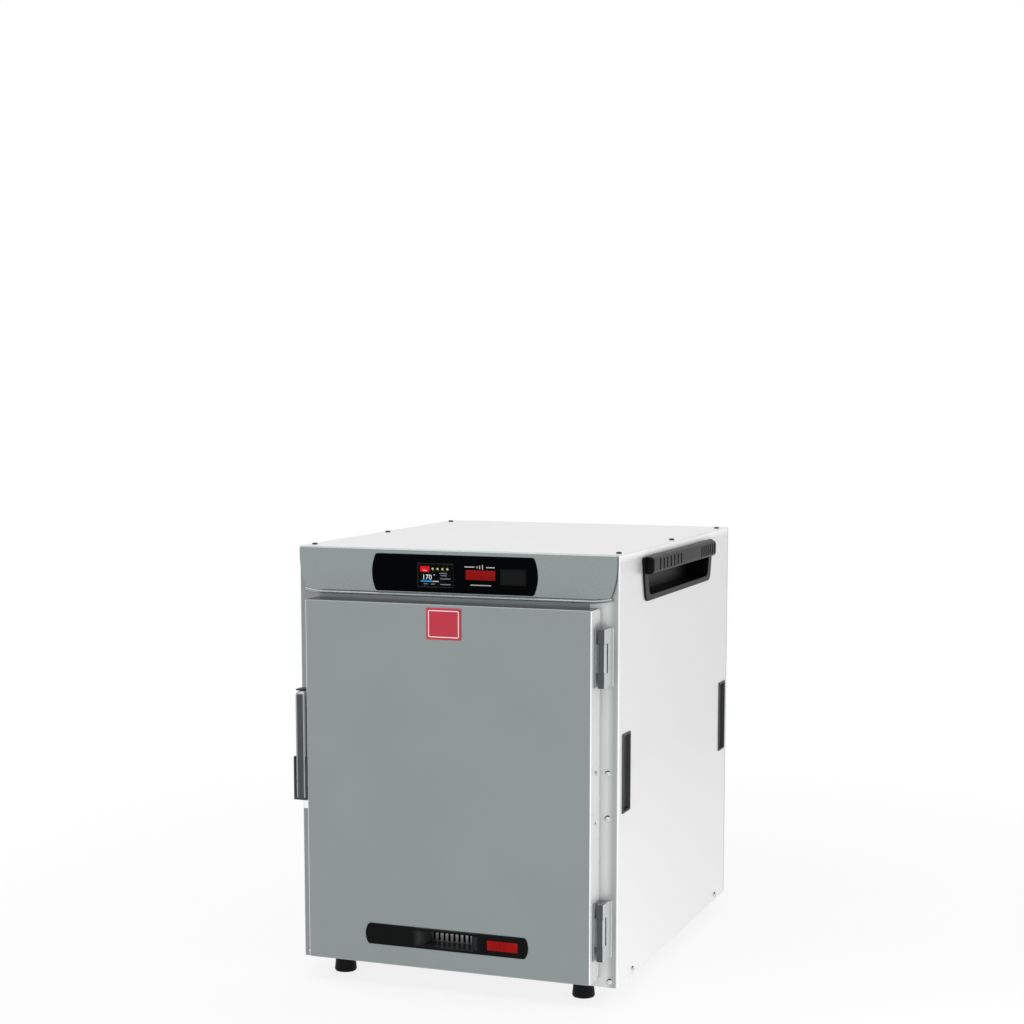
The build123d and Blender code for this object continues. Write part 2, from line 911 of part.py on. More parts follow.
def stem_channel(extra):
    """The space that the vent knob's stem sweeps, grown by some room."""
    travel = vent_pitch / 2
    x_span = (vent_knob_x - stem_width / 2 - travel - extra, vent_knob_x + stem_width / 2 + extra)
    return x_span, around(vent_z, stem_height + 2 * extra)


def end_bulged(half, bulge, low, high, corner):
    """A long plate outline whose ends bow outwards."""
    middle = (low + high) / 2
    edges = [
        Line((-half, high), (half, high)),
        ThreePointArc((half, high), (half + bulge, middle), (half, low)),
        Line((half, low), (-half, low)),
        ThreePointArc((-half, low), (-half - bulge, middle), (-half, high)),
    ]
    face = make_face(edges)
    return fillet(face.vertices(), corner)


def door_blank(inset, front, back):
    return block(
        (-door_half_width + inset, door_half_width - inset),
        (front, back),
        (door_bottom + inset, door_top - inset),
    )


def latch_holes():
    levels = around(latch_plate_z, latch_screw_pitch)
    cuts = [
        rod(
            (side * (door_half_width - door_screw_bed), latch_screw_y, z),
            (side, 0, 0),
            2 * door_screw_bed,
            screw_radius + shaft_play,
        )
        for side in (-1, 1)
        for z in levels
    ]
    return cuts[0].fuse(*cuts[1:])


def door_outer_skin():
    back = door_back - seam
    skin = door_blank(0, -door_front, back)
    rims = skin.faces().sort_by(Axis.Y)[0].edges() + skin.edges().filter_by(Axis.Y)
    skin = fillet(rims, door_edge_round)
    skin -= door_blank(door_sheet, -door_front + door_sheet, back - door_sheet)
    skin -= door_blank(door_return, back - 2 * door_sheet, back + door_sheet)
    passage = window(around(0, 2 * (throat_half_front + throat_wall + seam)), throat_z(throat_wall + seam))
    skin -= facing_front(passage, -door_front - past, -door_front + 2 * door_sheet)
    x_span, z_span = stem_channel(knob_gap)
    skin -= block(x_span, (-door_front - past, -door_front + 2 * door_sheet), z_span)
    return skin - latch_holes()


def door_inner_liner():
    liner = door_blank(door_sheet, door_back, door_back + sheet)
    return liner - vent_slots(door_back - past, door_back + sheet + past)


def door_insulation():
    inset = door_sheet + door_batt_gap
    foam = door_blank(inset, -door_front + door_sheet + seam, door_back - door_sheet - 2 * seam)
    grown = throat_half_front + throat_wall + seam
    foam -= block((-grown, grown), (-door_front, 0), throat_z(throat_wall + seam))
    x_span, z_span = stem_channel(stem_room_wide)
    foam -= block(x_span, (-door_front, 0), z_span)
    shutter_x, shutter_z = shutter_spans()
    room = door_back - sheet - 2 * running
    foam -= block(
        (shutter_x[0] - vent_pitch, shutter_x[1] + running),
        (room, 0),
        (shutter_z[0] - running, shutter_z[1] + running),
    )
    tips = [
        rod(
            (side * (door_half_width - door_screw_room), latch_screw_y, z),
            (side, 0, 0),
            door_screw_room,
            screw_head_radius,
        )
        for side in (-1, 1)
        for z in around(latch_plate_z, latch_screw_pitch)
    ]
    for tip in tips:
        foam -= tip
    return foam


def door_gasket():
    front = door_back + sheet + seam
    outer = door_blank(gasket_inset, front, -running)
    outer = fillet(outer.edges().filter_by(Axis.Y), gasket_corner)
    return outer - door_blank(gasket_inset + gasket_width, front - past, 0)


def door_vent_bezel():
    low, high = around(vent_z, vent_height)
    outline = end_bulged(vent_half_length, vent_end_bulge, low, high, vent_corner)
    plate = facing_front(outline, vent_front, -door_front - seam)
    plate = fillet(plate.faces().sort_by(Axis.Y)[0].edges(), vent_edge_round)
    low, high = throat_z(throat_wall)
    bezel = plate + facing_up(throat_outline(throat_wall), low, high)
    bezel -= facing_up(throat_outline(), *throat_z())
    recess_x = (
        vent_knob_x - vent_knob_length / 2 - vent_pitch / 2 - knob_room,
        vent_knob_x + vent_knob_length / 2 + knob_room,
    )
    recess = window(recess_x, around(vent_z, vent_knob_height + 2 * knob_gap), knob_recess_corner)
    bezel -= facing_front(recess, vent_front - past, vent_front + knob_recess)
    x_span, z_span = stem_channel(stem_room)
    return bezel - block(x_span, (vent_front - past, -door_front + past), z_span)


def slider_knob(x, z, front, seat, length, height):
    """A sliding knob: a cap with a rib across its middle."""
    cap = block(around(x, length), (front + knob_rib_proud, seat), around(z, height))
    cap = fillet(cap.faces().sort_by(Axis.Y)[0].edges(), knob_edge_round)
    return cap + block(around(x, knob_rib), (front, seat), around(z, height - 2 * knob_rib_inset))


def door_vent_knob():
    seat = vent_front + knob_recess - running
    front = vent_front - vent_knob_proud
    knob = slider_knob(vent_knob_x, vent_z, front, seat, vent_knob_length, vent_knob_height)
    back = door_back - running - sheet
    return knob + block(around(vent_knob_x, stem_width), (seat - past, back), around(vent_z, stem_height))


def shutter_spans():
    reach = throat_half_back + vent_pitch / 2 + shutter_margin
    return (-reach, vent_knob_x + stem_width / 2 + shutter_margin), throat_z(throat_wall + shutter_lap)


def door_vent_shutter():
    x_span, z_span = shutter_spans()
    plate = block(x_span, (door_back - running - sheet, door_back - running), z_span)
    return plate - vent_slots(door_back - running - sheet - past, door_back)


def badge_plate():
    outline = window(around(badge_x, badge_width), around(badge_z, badge_height), badge_corner)
    plate = facing_front(outline, -door_front - seam - badge_thickness, -door_front - seam)
    return fillet(plate.faces().sort_by(Axis.Y)[0].edges(), badge_edge_round)


# Hinges
def knuckle_block(z_span, front, back):
    knuckle = block(around(hinge_axis_x, knuckle_width), (front, back), z_span)
    return fillet(knuckle.edges().filter_by(Axis.Z), knuckle_round)


def hinge_zones(middle):
    """The heights of the lower, middle and upper knuckle."""
    low, high = around(middle, hinge_length)
    inner_low, inner_high = around(middle, hinge_middle_knuckle)
    return (low, inner_low), (inner_low + running, inner_high - running), (inner_high, high)


def hinge_frame_leaf(middle):
    lower, _, upper = hinge_zones(middle)
    front = hinge_axis_y - knuckle_depth / 2
    back = hinge_axis_y + knuckle_depth / 2
    left = hinge_axis_x - knuckle_width / 2
    leaf_face = -seam - hinge_leaf
    plate = block((left, hinge_axis_x + frame_leaf_reach), (leaf_face, -seam), (lower[0], upper[1]))
    right_rim = plate.edges().filter_by(Axis.Z).sort_by(Axis.X)[-2:].sort_by(Axis.Y)[0]
    leaf = fillet(right_rim, leaf_round)
    right = hinge_axis_x + knuckle_width / 2
    web_front = hinge_axis_y + hypot(knuckle_width, knuckle_depth) / 2 + 2 * running
    web_x = (right - hinge_web, right)
    leaf += block(web_x, (web_front, leaf_face + weld), (lower[0], upper[1]))
    for zone in (lower, upper):
        leaf += knuckle_block(zone, front, back)
        leaf += block(web_x, (back - door_knuckle_back, leaf_face + weld), zone)
    pin_room = hinge_pin_radius + shaft_play
    pin_start = (hinge_axis_x, hinge_axis_y, lower[0] - past)
    return leaf - rod(pin_start, (0, 0, 1), hinge_length + 2 * past, pin_room)


def hinge_door_leaf(middle):
    lower, centre, upper = hinge_zones(middle)
    front = hinge_axis_y - knuckle_depth / 2
    plate_x = (door_half_width + seam, door_half_width + seam + door_leaf)
    leaf = block(plate_x, (front, front + door_leaf_depth), (lower[0], upper[1]))
    web_x = (plate_x[1] - weld, hinge_axis_x - knuckle_width / 2 + weld)
    leaf += block(web_x, (hinge_axis_y + door_web[0], hinge_axis_y + door_web[1]), centre)
    leaf += knuckle_block(centre, front, hinge_axis_y + knuckle_depth / 2 - door_knuckle_back)
    pin_room = hinge_pin_radius + shaft_play
    pin_start = (hinge_axis_x, hinge_axis_y, lower[0] - past)
    return leaf - rod(pin_start, (0, 0, 1), hinge_length + 2 * past, pin_room)


def hinge_pin(middle):
    low = middle - hinge_length / 2
    return rod((hinge_axis_x, hinge_axis_y, low), (0, 0, 1), hinge_length, hinge_pin_radius)


# Latch
def latch_spans():
    inner_x = -door_half_width - seam
    outer_x = -door_half_width - latch_reach
    return (outer_x, inner_x), (latch_bottom, latch_bottom + latch_housing_height)


def lever_span():
    (outer, inner), _ = latch_spans()
    return (outer + latch_wall + lever_clearance, inner - latch_wall - lever_clearance)


def latch_housing():
    x_span, z_span = latch_spans()
    box = block(x_span, (-door_front, -latch_back), z_span)
    box = fillet(box.edges().filter_by(Axis.Y), latch_box_round)
    plate_face = x_span[1] - latch_plate_thickness
    plate_z = around(latch_plate_z, latch_plate_height)
    plate = block((plate_face, x_span[1]), around(latch_screw_y, latch_plate_depth), plate_z)
    housing = box + fillet(plate.edges().filter_by(Axis.X), latch_plate_corner)
    inner_x = (x_span[0] + latch_wall, x_span[1] - latch_wall)
    hollow_z = (z_span[0] + latch_wall, z_span[1] + past)
    housing -= block(inner_x, (-door_front - past, -latch_back - latch_back_wall), hollow_z)
    for z in around(latch_plate_z, latch_screw_pitch):
        seat = (plate_face, latch_screw_y, z)
        housing -= rod(seat, (1, 0, 0), latch_plate_thickness + past, screw_radius + shaft_play)
        housing -= rod(seat, (-1, 0, 0), latch_wall, flat_head_radius + running)
    pin_start = (x_span[0] - past, lever_pivot_y, lever_pivot_z)
    reach = x_span[1] - x_span[0] + 2 * past
    return housing - rod(pin_start, (1, 0, 0), reach, lever_pin_radius + shaft_play)


def latch_lever():
    low, high = lever_span()
    front, back = -lever_front, -lever_front + lever_depth
    bottom = latch_bottom + latch_wall + lever_foot_gap
    lever = block((low, high), (front, back), (bottom, lever_top))
    top_front = lever.edges().filter_by(Axis.X).group_by(Axis.Z)[-1].sort_by(Axis.Y)[0]
    lever = fillet(top_front, lever_top_round)
    for place, rounding in ((0, lever_outer_round), (-1, lever_inner_round)):
        front_rims = lever.edges().filter_by(Axis.Z).group_by(Axis.Y)[0].sort_by(Axis.X)
        lever = fillet(front_rims[place], rounding)
    hollow = block(
        (low + lever_wall, high - lever_wall),
        (front + lever_wall, back + past),
        (bottom + lever_wall, lever_top - lever_wall),
    )
    top_front = hollow.edges().filter_by(Axis.X).group_by(Axis.Z)[-1].sort_by(Axis.Y)[0]
    hollow = fillet(top_front, lever_top_round - lever_wall)
    outer_rim = hollow.edges().filter_by(Axis.Z).group_by(Axis.Y)[0].sort_by(Axis.X)[0]
    lever -= fillet(outer_rim, lever_outer_round - lever_wall)
    pin_room = lever_pin_radius + shaft_play
    return lever - rod((low - past, lever_pivot_y, lever_pivot_z), (1, 0, 0), high - low + 2 * past, pin_room)


def latch_lever_cap():
    low, high = lever_span()
    y_span = (-lever_front + lever_cap_setback, -lever_front + lever_depth)
    cap = block((low + seam, high - seam), y_span, (lever_top + seam, lever_top + seam + lever_cap))
    return fillet(cap.faces().sort_by(Axis.Z)[-1].edges(), lever_cap_round)


def latch_pivot_pin():
    (outer, inner), _ = latch_spans()
    return rod((outer, lever_pivot_y, lever_pivot_z), (1, 0, 0), inner - outer, lever_pin_radius)


def latch_lever_spring():
    """The return spring, wound on the pivot pin inside the lever."""
    low, high = lever_span()
    coil_radius = lever_pin_radius + seam + spring_wire_radius
    length = high - low - 2 * (lever_wall + spring_end_gap)
    path = Helix(pitch=length / spring_turns, height=length, radius=coil_radius)
    coil = sweep(Plane(origin=path @ 0, z_dir=path % 0) * Circle(spring_wire_radius), path=path)
    lean = radians(spring_leg_lean)
    along = Vector(0, sin(lean), cos(lean))
    outward = Vector(0, cos(lean), -sin(lean))
    spring = Plane(origin=(0, 0, 0), x_dir=outward, z_dir=(1, 0, 0)) * coil
    start = outward * coil_radius
    tip_room = spring_wire_radius + running
    front_run = (lever_pivot_y + start.Y - (-lever_front + lever_wall) - tip_room) / sin(lean)
    back_run = (-latch_back - latch_back_wall - lever_pivot_y - start.Y - tip_room) / sin(lean)
    spring += rod(start, along * -1, front_run, spring_wire_radius)
    spring += rod(start + Vector(length, 0, 0), along, back_run, spring_wire_radius)
    return Pos(high - lever_wall - spring_end_gap, lever_pivot_y, lever_pivot_z) * other_side(spring)


def latch_magnet():
    (outer, inner), _ = latch_spans()
    x_span = around((outer + inner) / 2, magnet_width)
    y_span = (-latch_back + seam, -latch_back + seam + magnet_thickness)
    return block(x_span, y_span, around(lever_pivot_z, magnet_height))


def door_edge_screws():
    """Flat-headed screws: two hold the latch on the left edge and two fill the spare holes on the right."""
    (_, inner), _ = latch_spans()
    screws = []
    latch_side = (inner - latch_plate_thickness, -1, flat_head_height, 0.0)
    spare_side = (door_half_width, 1, blank_head_height, blank_head_round)
    for seat_x, way, height, rounding in (latch_side, spare_side):
        for z in around(latch_plate_z, latch_screw_pitch):
            seat = (seat_x, latch_screw_y, z)
            head = rod(seat, (way, 0, 0), height, flat_head_radius)
            if rounding:
                head = fillet(head.edges().filter_by(GeomType.CIRCLE).sort_by(Axis.X)[-1], rounding)
            screws.append(head + rod(seat, (-way, 0, 0), screw_length, screw_radius))
    return screws


def strike_plate():
    outline = window(around(-strike_x, strike_width), around(frame_screw_z, strike_height), strike_corner)
    plate = facing_front(outline, -seam - strike_thickness, -seam)
    plate = fillet(plate.faces().sort_by(Axis.Y)[0].edges(), strike_edge_round)
    for seat in strike_seats:
        plate -= screw_hole(seat, (0, -1, 0))
    return plate


# Controls
def knob_slot(extra):
    low = humidity_knob_x - stem_width / 2 - humidity_travel - extra
    return (low, humidity_knob_x + stem_width / 2 + extra), around(panel_z, stem_height + 2 * extra)


def display_spans(grow=0.0):
    z = header_top - display_drop
    return around(display_x, display_width + 2 * grow), around(z, display_height + 2 * grow)


def switch_spans(inset=0.0):
    return around(switch_x, switch_width - 2 * inset), around(switch_z, switch_height - 2 * inset)


def control_panel():
    outline = end_bulged(panel_half_length, panel_end_bulge, panel_foot, panel_top, panel_corner)
    plate = facing_front(outline, panel_front, -header_proud - seam)
    plate = fillet(plate.faces().sort_by(Axis.Y)[0].edges(), panel_edge_round)
    half = header_window_half - seam
    low = header_foot + header_window_inset + seam
    high = header_top - header_window_inset - seam
    rim = window((-half, half), (low, high), header_window_corner)
    inner_corner = header_window_corner - panel_rib
    rim -= window((-half + panel_rib, half - panel_rib), (low + panel_rib, high - panel_rib), inner_corner)
    panel = plate + facing_front(rim, -header_proud - past, -past)
    panel -= facing_front(window(*display_spans()), panel_front - past, -header_proud)
    panel -= facing_front(window(*switch_spans(-seam)), panel_front - past, 0)
    x_span, z_span = knob_slot(stem_room)
    return panel - block(x_span, (panel_front - past, -header_proud), z_span)


def display_window():
    (x_low, x_high), (z_low, z_high) = display_spans(-seam)
    face = panel_front + glass_inset
    return block((x_low, x_high), (face, face + glass_thickness), (z_low, z_high))


def display_module():
    x_span, z_span = display_spans(display_module_margin)
    return block(x_span, (-header_proud, -header_proud + display_module_depth), z_span)


def control_board():
    """The board behind the display, with its relays, capacitors, transformer and terminal strip."""
    front = -header_proud + display_module_depth + seam
    face = front + board_thickness
    low, high = panel_foot + board_inset, panel_top - board_inset
    board = block((board_left, board_right), (front, face), (low, high))
    relay_z = (low + board_part_margin, low + board_part_margin + relay_height)
    for number in range(relay_count):
        left = board_left + board_part_margin + relay_pitch * number
        board += block((left, left + relay_width), (face, face + relay_depth), relay_z)
    left = board_left + board_part_margin + relay_pitch * relay_count
    core_z = around((low + high) / 2, transformer_size)
    board += block((left, left + transformer_size), (face, face + transformer_depth), core_z)
    for number in range(capacitor_count):
        x = board_left + capacitor_pitch * (number + 1)
        board += rod((x, face, high - capacitor_drop), (0, 1, 0), capacitor_length, capacitor_radius)
    places = terminal_places()
    strip_x = (places[-1][0] - terminal_pitch, places[0][0] + terminal_pitch)
    return board + block(strip_x, (face, face + terminal_depth), around(terminal_z(), terminal_height))


def terminal_z():
    return panel_foot + board_inset + terminal_rise


def terminal_places():
    """Where the four leads meet the board's terminal strip, from right to left."""
    back = -header_proud + display_module_depth + seam + board_thickness + terminal_depth
    return [(board_right - terminal_pitch * (number + 1), back + seam) for number in range(4)]


def switch_housing():
    rim = facing_front(window(*switch_spans()), panel_front, -header_proud - seam)
    rim += facing_front(window(*switch_spans(seam)), -header_proud - past, switch_depth)
    x_span, z_span = switch_spans(switch_frame)
    return rim - block(x_span, (panel_front - past, switch_depth - switch_floor), z_span)


def power_rocker():
    """The rocker, drawn level and then tilted to the side that is pressed."""
    (x_low, x_high), (z_low, z_high) = switch_spans(switch_frame + running)
    reach = (x_high - x_low) / 2
    profile = [
        (-reach, rocker_heel),
        (-reach, -rocker_rise),
        (0, -rocker_saddle),
        (reach, -rocker_rise),
        (reach, rocker_heel),
        (0, rocker_foot),
    ]
    shape = facing_up(make_face(Polyline(*profile, close=True)), z_low, z_high)
    shape &= rod((0, 0, z_low - past), (0, 0, 1), z_high - z_low + 2 * past, reach - rocker_end_gap)
    return Pos(switch_x, rocker_axis_y, 0) * Rot(0, 0, rocker_tilt) * shape


def humidity_slots(front, back):
    pitch = 2 * humidity_travel
    start = humidity_knob_x - (humidity_slot_count - 1) * pitch / 2
    z_span = around(panel_z, humidity_slot_height)
    cutters = [
        block(around(start + number * pitch, humidity_slot), (front, back), z_span)
        for number in range(humidity_slot_count)
    ]
    return cutters[0].fuse(*cutters[1:])


def humidity_vent_duct():
    x_span, y_span = duct_spans()
    top = panel_z + humidity_duct_rise
    duct = block(x_span, y_span, (lintel - sheet, top))
    duct -= block(
        (x_span[0] + sheet, x_span[1] - sheet),
        (y_span[0] + sheet, y_span[1] - sheet),
        (lintel - 2 * sheet, top - sheet),
    )
    return duct - humidity_slots(y_span[0] - past, y_span[0] + 2 * sheet)


def humidity_vent_knob():
    seat = panel_front - running
    front = seat - humidity_knob_proud
    knob = slider_knob(humidity_knob_x, panel_z, front, seat, humidity_knob_length, humidity_knob_height)
    back = humidity_duct_y - running - sheet
    stem = block(around(humidity_knob_x, stem_width), (seat - past, back), around(panel_z, stem_height))
    return knob + stem


def humidity_vent_shutter():
    y_span = (humidity_duct_y - running - sheet, humidity_duct_y - running)
    width = humidity_duct_width - shutter_margin
    plate = block(around(humidity_knob_x, width), y_span, around(panel_z, humidity_shutter_height))
    return plate - humidity_slots(y_span[0] - past, y_span[1] + past)


# Pan slides
def runner_levels():
    count = int((plenum_z - slide_head_room - slide_first_z) / slide_pitch) + 1
    return [slide_first_z + number * slide_pitch for number in range(count)]


def right_slide_runners():
    wall = opening_half - runner_play
    depth = (runner_front_y, cavity_back - rear_duct_depth - runner_rear_gap)
    runners = []
    for z in runner_levels():
        ledge = block((wall - ledge_width, wall + runner_sheet), depth, (z - runner_sheet, z))
        runners.append(ledge + block((wall, wall + runner_sheet), depth, (z - runner_drop, z)))
    return runners


def right_slide_uprights():
    """Channels that stand against the cavity wall, open towards it."""
    x_span = (opening_half - runner_play + runner_sheet + seam, cavity_half - seam)
    z_span = (floor_z + seam, runner_levels()[-1] + upright_rise)
    rear_y = cavity_back - rear_duct_depth - runner_rear_gap - upright_rear_inset
    uprights = []
    for y in (upright_front_y, rear_y):
        post = block(x_span, (y, y + upright_width), z_span)
        hollow_x = (x_span[0] + runner_sheet, x_span[1] + past)
        hollow_y = (y + runner_sheet, y + upright_width - runner_sheet)
        uprights.append(post - block(hollow_x, hollow_y, (z_span[0] - past, z_span[1] + past)))
    return uprights


# Air system
def air_plenum():
    back = cavity_back - rear_duct_depth
    half = cavity_half - seam
    plate = block((-half, half), (plenum_front_y, back), (plenum_z, plenum_z + sheet))
    lip = block((-half, half), (plenum_front_y, plenum_front_y + sheet), (plenum_z, ceiling_z - seam))
    return plate + lip - rod((0, fan_y, plenum_z - sheet), (0, 0, 1), 3 * sheet, fan_inlet_radius)


def rear_air_panel():
    front = cavity_back - rear_duct_depth + seam
    half = cavity_half - seam
    z_span = (floor_z + seam, plenum_z + sheet)
    panel = block((-half, half), (front, front + sheet), z_span)
    for side in (-1, 1):
        edge = sorted((side * half, side * (half - sheet)))
        panel += block(edge, (front, cavity_back - seam), z_span)
    slot = SlotOverall(air_slot_length, air_slot_height)
    first = floor_z + air_slot_first
    rows = int((plenum_z - first - air_slot_first) / air_slot_pitch) + 1
    for row in range(rows):
        for x in air_slot_columns:
            hole = Pos(x, first + row * air_slot_pitch) * slot
            panel -= facing_front(hole, front - past, front + 2 * sheet)
    return panel


def fan_guard():
    """Rings and spokes, welded flat, under the fan's inlet."""
    spread = fan_inlet_radius + guard_margin
    face = Circle(spread) - Circle(spread - guard_wire)
    for number in range(1, guard_ring_count):
        radius = spread * number / guard_ring_count
        face += Circle(radius + guard_wire / 2) - Circle(radius - guard_wire / 2)
    for angle in guard_spokes:
        face += Rot(0, 0, angle) * Rectangle(2 * spread - guard_wire, guard_wire)
    low = plenum_z - seam - guard_wire
    return Pos(0, fan_y, 0) * facing_up(face, low, low + guard_wire)


def fan_motor():
    base = deck_top + seam
    body = rod((0, fan_y, base + motor_seat), (0, 0, 1), motor_height, motor_radius)
    body = fillet(body.edges().filter_by(GeomType.CIRCLE).group_by(Axis.Z)[-1], motor_round)
    outline = Pos(0, fan_y) * RectangleRounded(motor_flange, motor_flange, motor_flange_corner)
    motor = body + facing_up(outline, base, base + motor_seat + weld)
    bore = motor_height * motor_bore_share + past
    return motor - rod((0, fan_y, deck_top - 1), (0, 0, 1), bore, shaft_radius + shaft_play)


def impeller_span():
    low = plenum_z + sheet + impeller_clearance
    return low, low + impeller_height


def fan_shaft():
    low = impeller_span()[0] - shaft_end
    top = deck_top + motor_height * motor_bore_share - running
    return rod((0, fan_y, low), (0, 0, 1), top - low, shaft_radius)


def fan_impeller():
    """A backward-curved wheel: a disc on top, a hub, and blades that hang from the disc."""
    low, high = impeller_span()
    wheel = rod((0, 0, high - impeller_disc), (0, 0, 1), impeller_disc, impeller_radius)
    wheel += rod((0, 0, low), (0, 0, 1), high - low, impeller_hub_radius)
    curve = ThreePointArc(blade_root, blade_bow, (impeller_radius - 1, blade_tip_rise))
    strip = trace(curve, line_width=blade_thickness)
    for number in range(blade_count):
        wheel += Rot(0, 0, 360 / blade_count * number) * facing_up(strip, low, high - 1)
    wheel -= rod((0, 0, low - past), (0, 0, 1), high - low + 2 * past, shaft_radius + shaft_grip)
    return Pos(0, fan_y, 0) * wheel


def heating_element():
    """One open ring round the fan, with two risers through the roof."""
    low, high = impeller_span()
    level = (low + high) / 2
    ends = element_ends()
    half_gap = degrees(atan2(ends[1][0], element_radius))
    ring = Torus(hypot(element_radius, ends[1][0]), element_tube, major_angle=360 - 2 * half_gap)
    element = Pos(0, fan_y, level) * Rot(0, 0, 90 + half_gap) * ring
    top = deck_top + riser_stub
    for x, y in ends:
        element += Pos(x, y, level) * Sphere(element_tube)
        element += rod((x, y, level), (0, 0, 1), top - level, element_tube)
    return element


def temperature_probe():
    face = cavity_back - rear_duct_depth
    z = plenum_z - probe_drop
    stem = rod((probe_x, face - probe_reach, z), (0, 1, 0), probe_reach, probe_radius)
    flange = rod((probe_x, face - probe_flange, z), (0, 1, 0), probe_flange, probe_drop - probe_flange)
    return stem + flange


# Power inlet and leads
def power_inlet():
    """A recessed inlet with three blades, its flange outside the back panel."""
    flange_back = body_depth + seam
    flange = facing_front(window(*inlet_span(), inlet_corner), flange_back, flange_back + inlet_proud)
    flange = fillet(flange.faces().sort_by(Axis.Y)[-1].edges(), inlet_edge_round)
    body = window(*inlet_span(inlet_flange), inlet_body_corner)
    inlet = flange + facing_front(body, flange_back - inlet_depth, flange_back + weld)
    well = window(around(inlet_x, inlet_well_width), around(inlet_z, inlet_well_height), inlet_body_corner)
    floor_y = flange_back - inlet_well_depth
    inlet -= facing_front(well, floor_y, flange_back + inlet_proud + 1)
    pin_y = (floor_y - weld, flange_back - inlet_pin_setback)
    for x, rise in inlet_pins:
        inlet += block(around(inlet_x + x, inlet_pin_width), pin_y, around(inlet_z + rise, inlet_pin_height))
    return inlet


def lead(points, radius):
    """One insulated lead along a route, rounded at each turn."""
    bends = []
    for before, here, after in zip(points, points[1:], points[2:]):
        arrive = Vector(*here) - Vector(*before)
        leave = Vector(*after) - Vector(*here)
        turn = radians(arrive.get_angle(leave))
        shorter = min(arrive.length, leave.length)
        bends.append(bend_share * shorter / tan(turn / 2))
    path = FilletPolyline(*points, radius=min(bends))
    return sweep(Plane(origin=path @ 0, z_dir=path % 0) * Circle(radius), path=path)


def wiring_harness():
    """The leads that lie on the deck: the feed, two to the heater and one to the fan motor."""
    feed_end, right_end, motor_end, left_end = terminal_places()
    z = terminal_z()
    feed_floor = deck_top + seam + feed_radius
    floor = deck_top + seam + lead_radius
    inlet_back = body_depth - inlet_depth
    feed = [
        (inlet_x, inlet_back, inlet_z),
        (inlet_x, inlet_back - feed_run, inlet_z),
        (inlet_x, inlet_back - 2 * feed_run, feed_floor),
        (inlet_x, feed_lane_y, feed_floor),
        (feed_end[0], feed_lane_y, feed_floor),
        (feed_end[0], board_turn_y, z),
        (*feed_end, z),
    ]
    leads = [lead(feed, feed_radius)]
    riser_top = deck_top + riser_stub + seam
    lead_top = riser_top + heater_lead_rise
    for side, end in ((1, right_end), (-1, left_end)):
        lane = side * (motor_radius + heater_lane_gap)
        start_x, start_y = element_ends()[(side + 1) // 2]
        route = [
            (start_x, start_y, riser_top),
            (start_x, start_y, lead_top),
            (lane, start_y, lead_top),
            (lane, start_y - heater_lead_fall, floor),
            (lane, heater_lane_y, floor),
            (end[0], heater_lane_y, floor),
            (end[0], heater_turn_y, z),
            (*end, z),
        ]
        leads.append(lead(route, lead_radius))
    motor_exit = deck_top + motor_height * motor_lead_share
    motor_face = fan_y - motor_radius
    route = [
        (0, motor_face - seam, motor_exit),
        (0, motor_face - motor_lead_run, motor_exit),
        (0, motor_face - motor_lead_fall, floor),
        (motor_end[0], motor_lane_y[0], floor),
        (motor_end[0], motor_lane_y[1], floor),
        (motor_end[0], board_turn_y, z),
        (*motor_end, z),
    ]
    leads.append(lead(route, lead_radius))
    return leads


right_panel = right_side_panel()
right_handle = side_handle()
casing_seats = [
    *[(seat, (1 if seat[0] > 0 else -1, 0, 0)) for seat in side_seats],
    *[(seat, (0, -1, 0)) for seat in corner_seats + blank_seats + strike_seats],
    *[(seat, (0, 1, 0)) for seat in back_seats],
]
right_cups = [side_recess_cup(front) for front in cup_fronts]

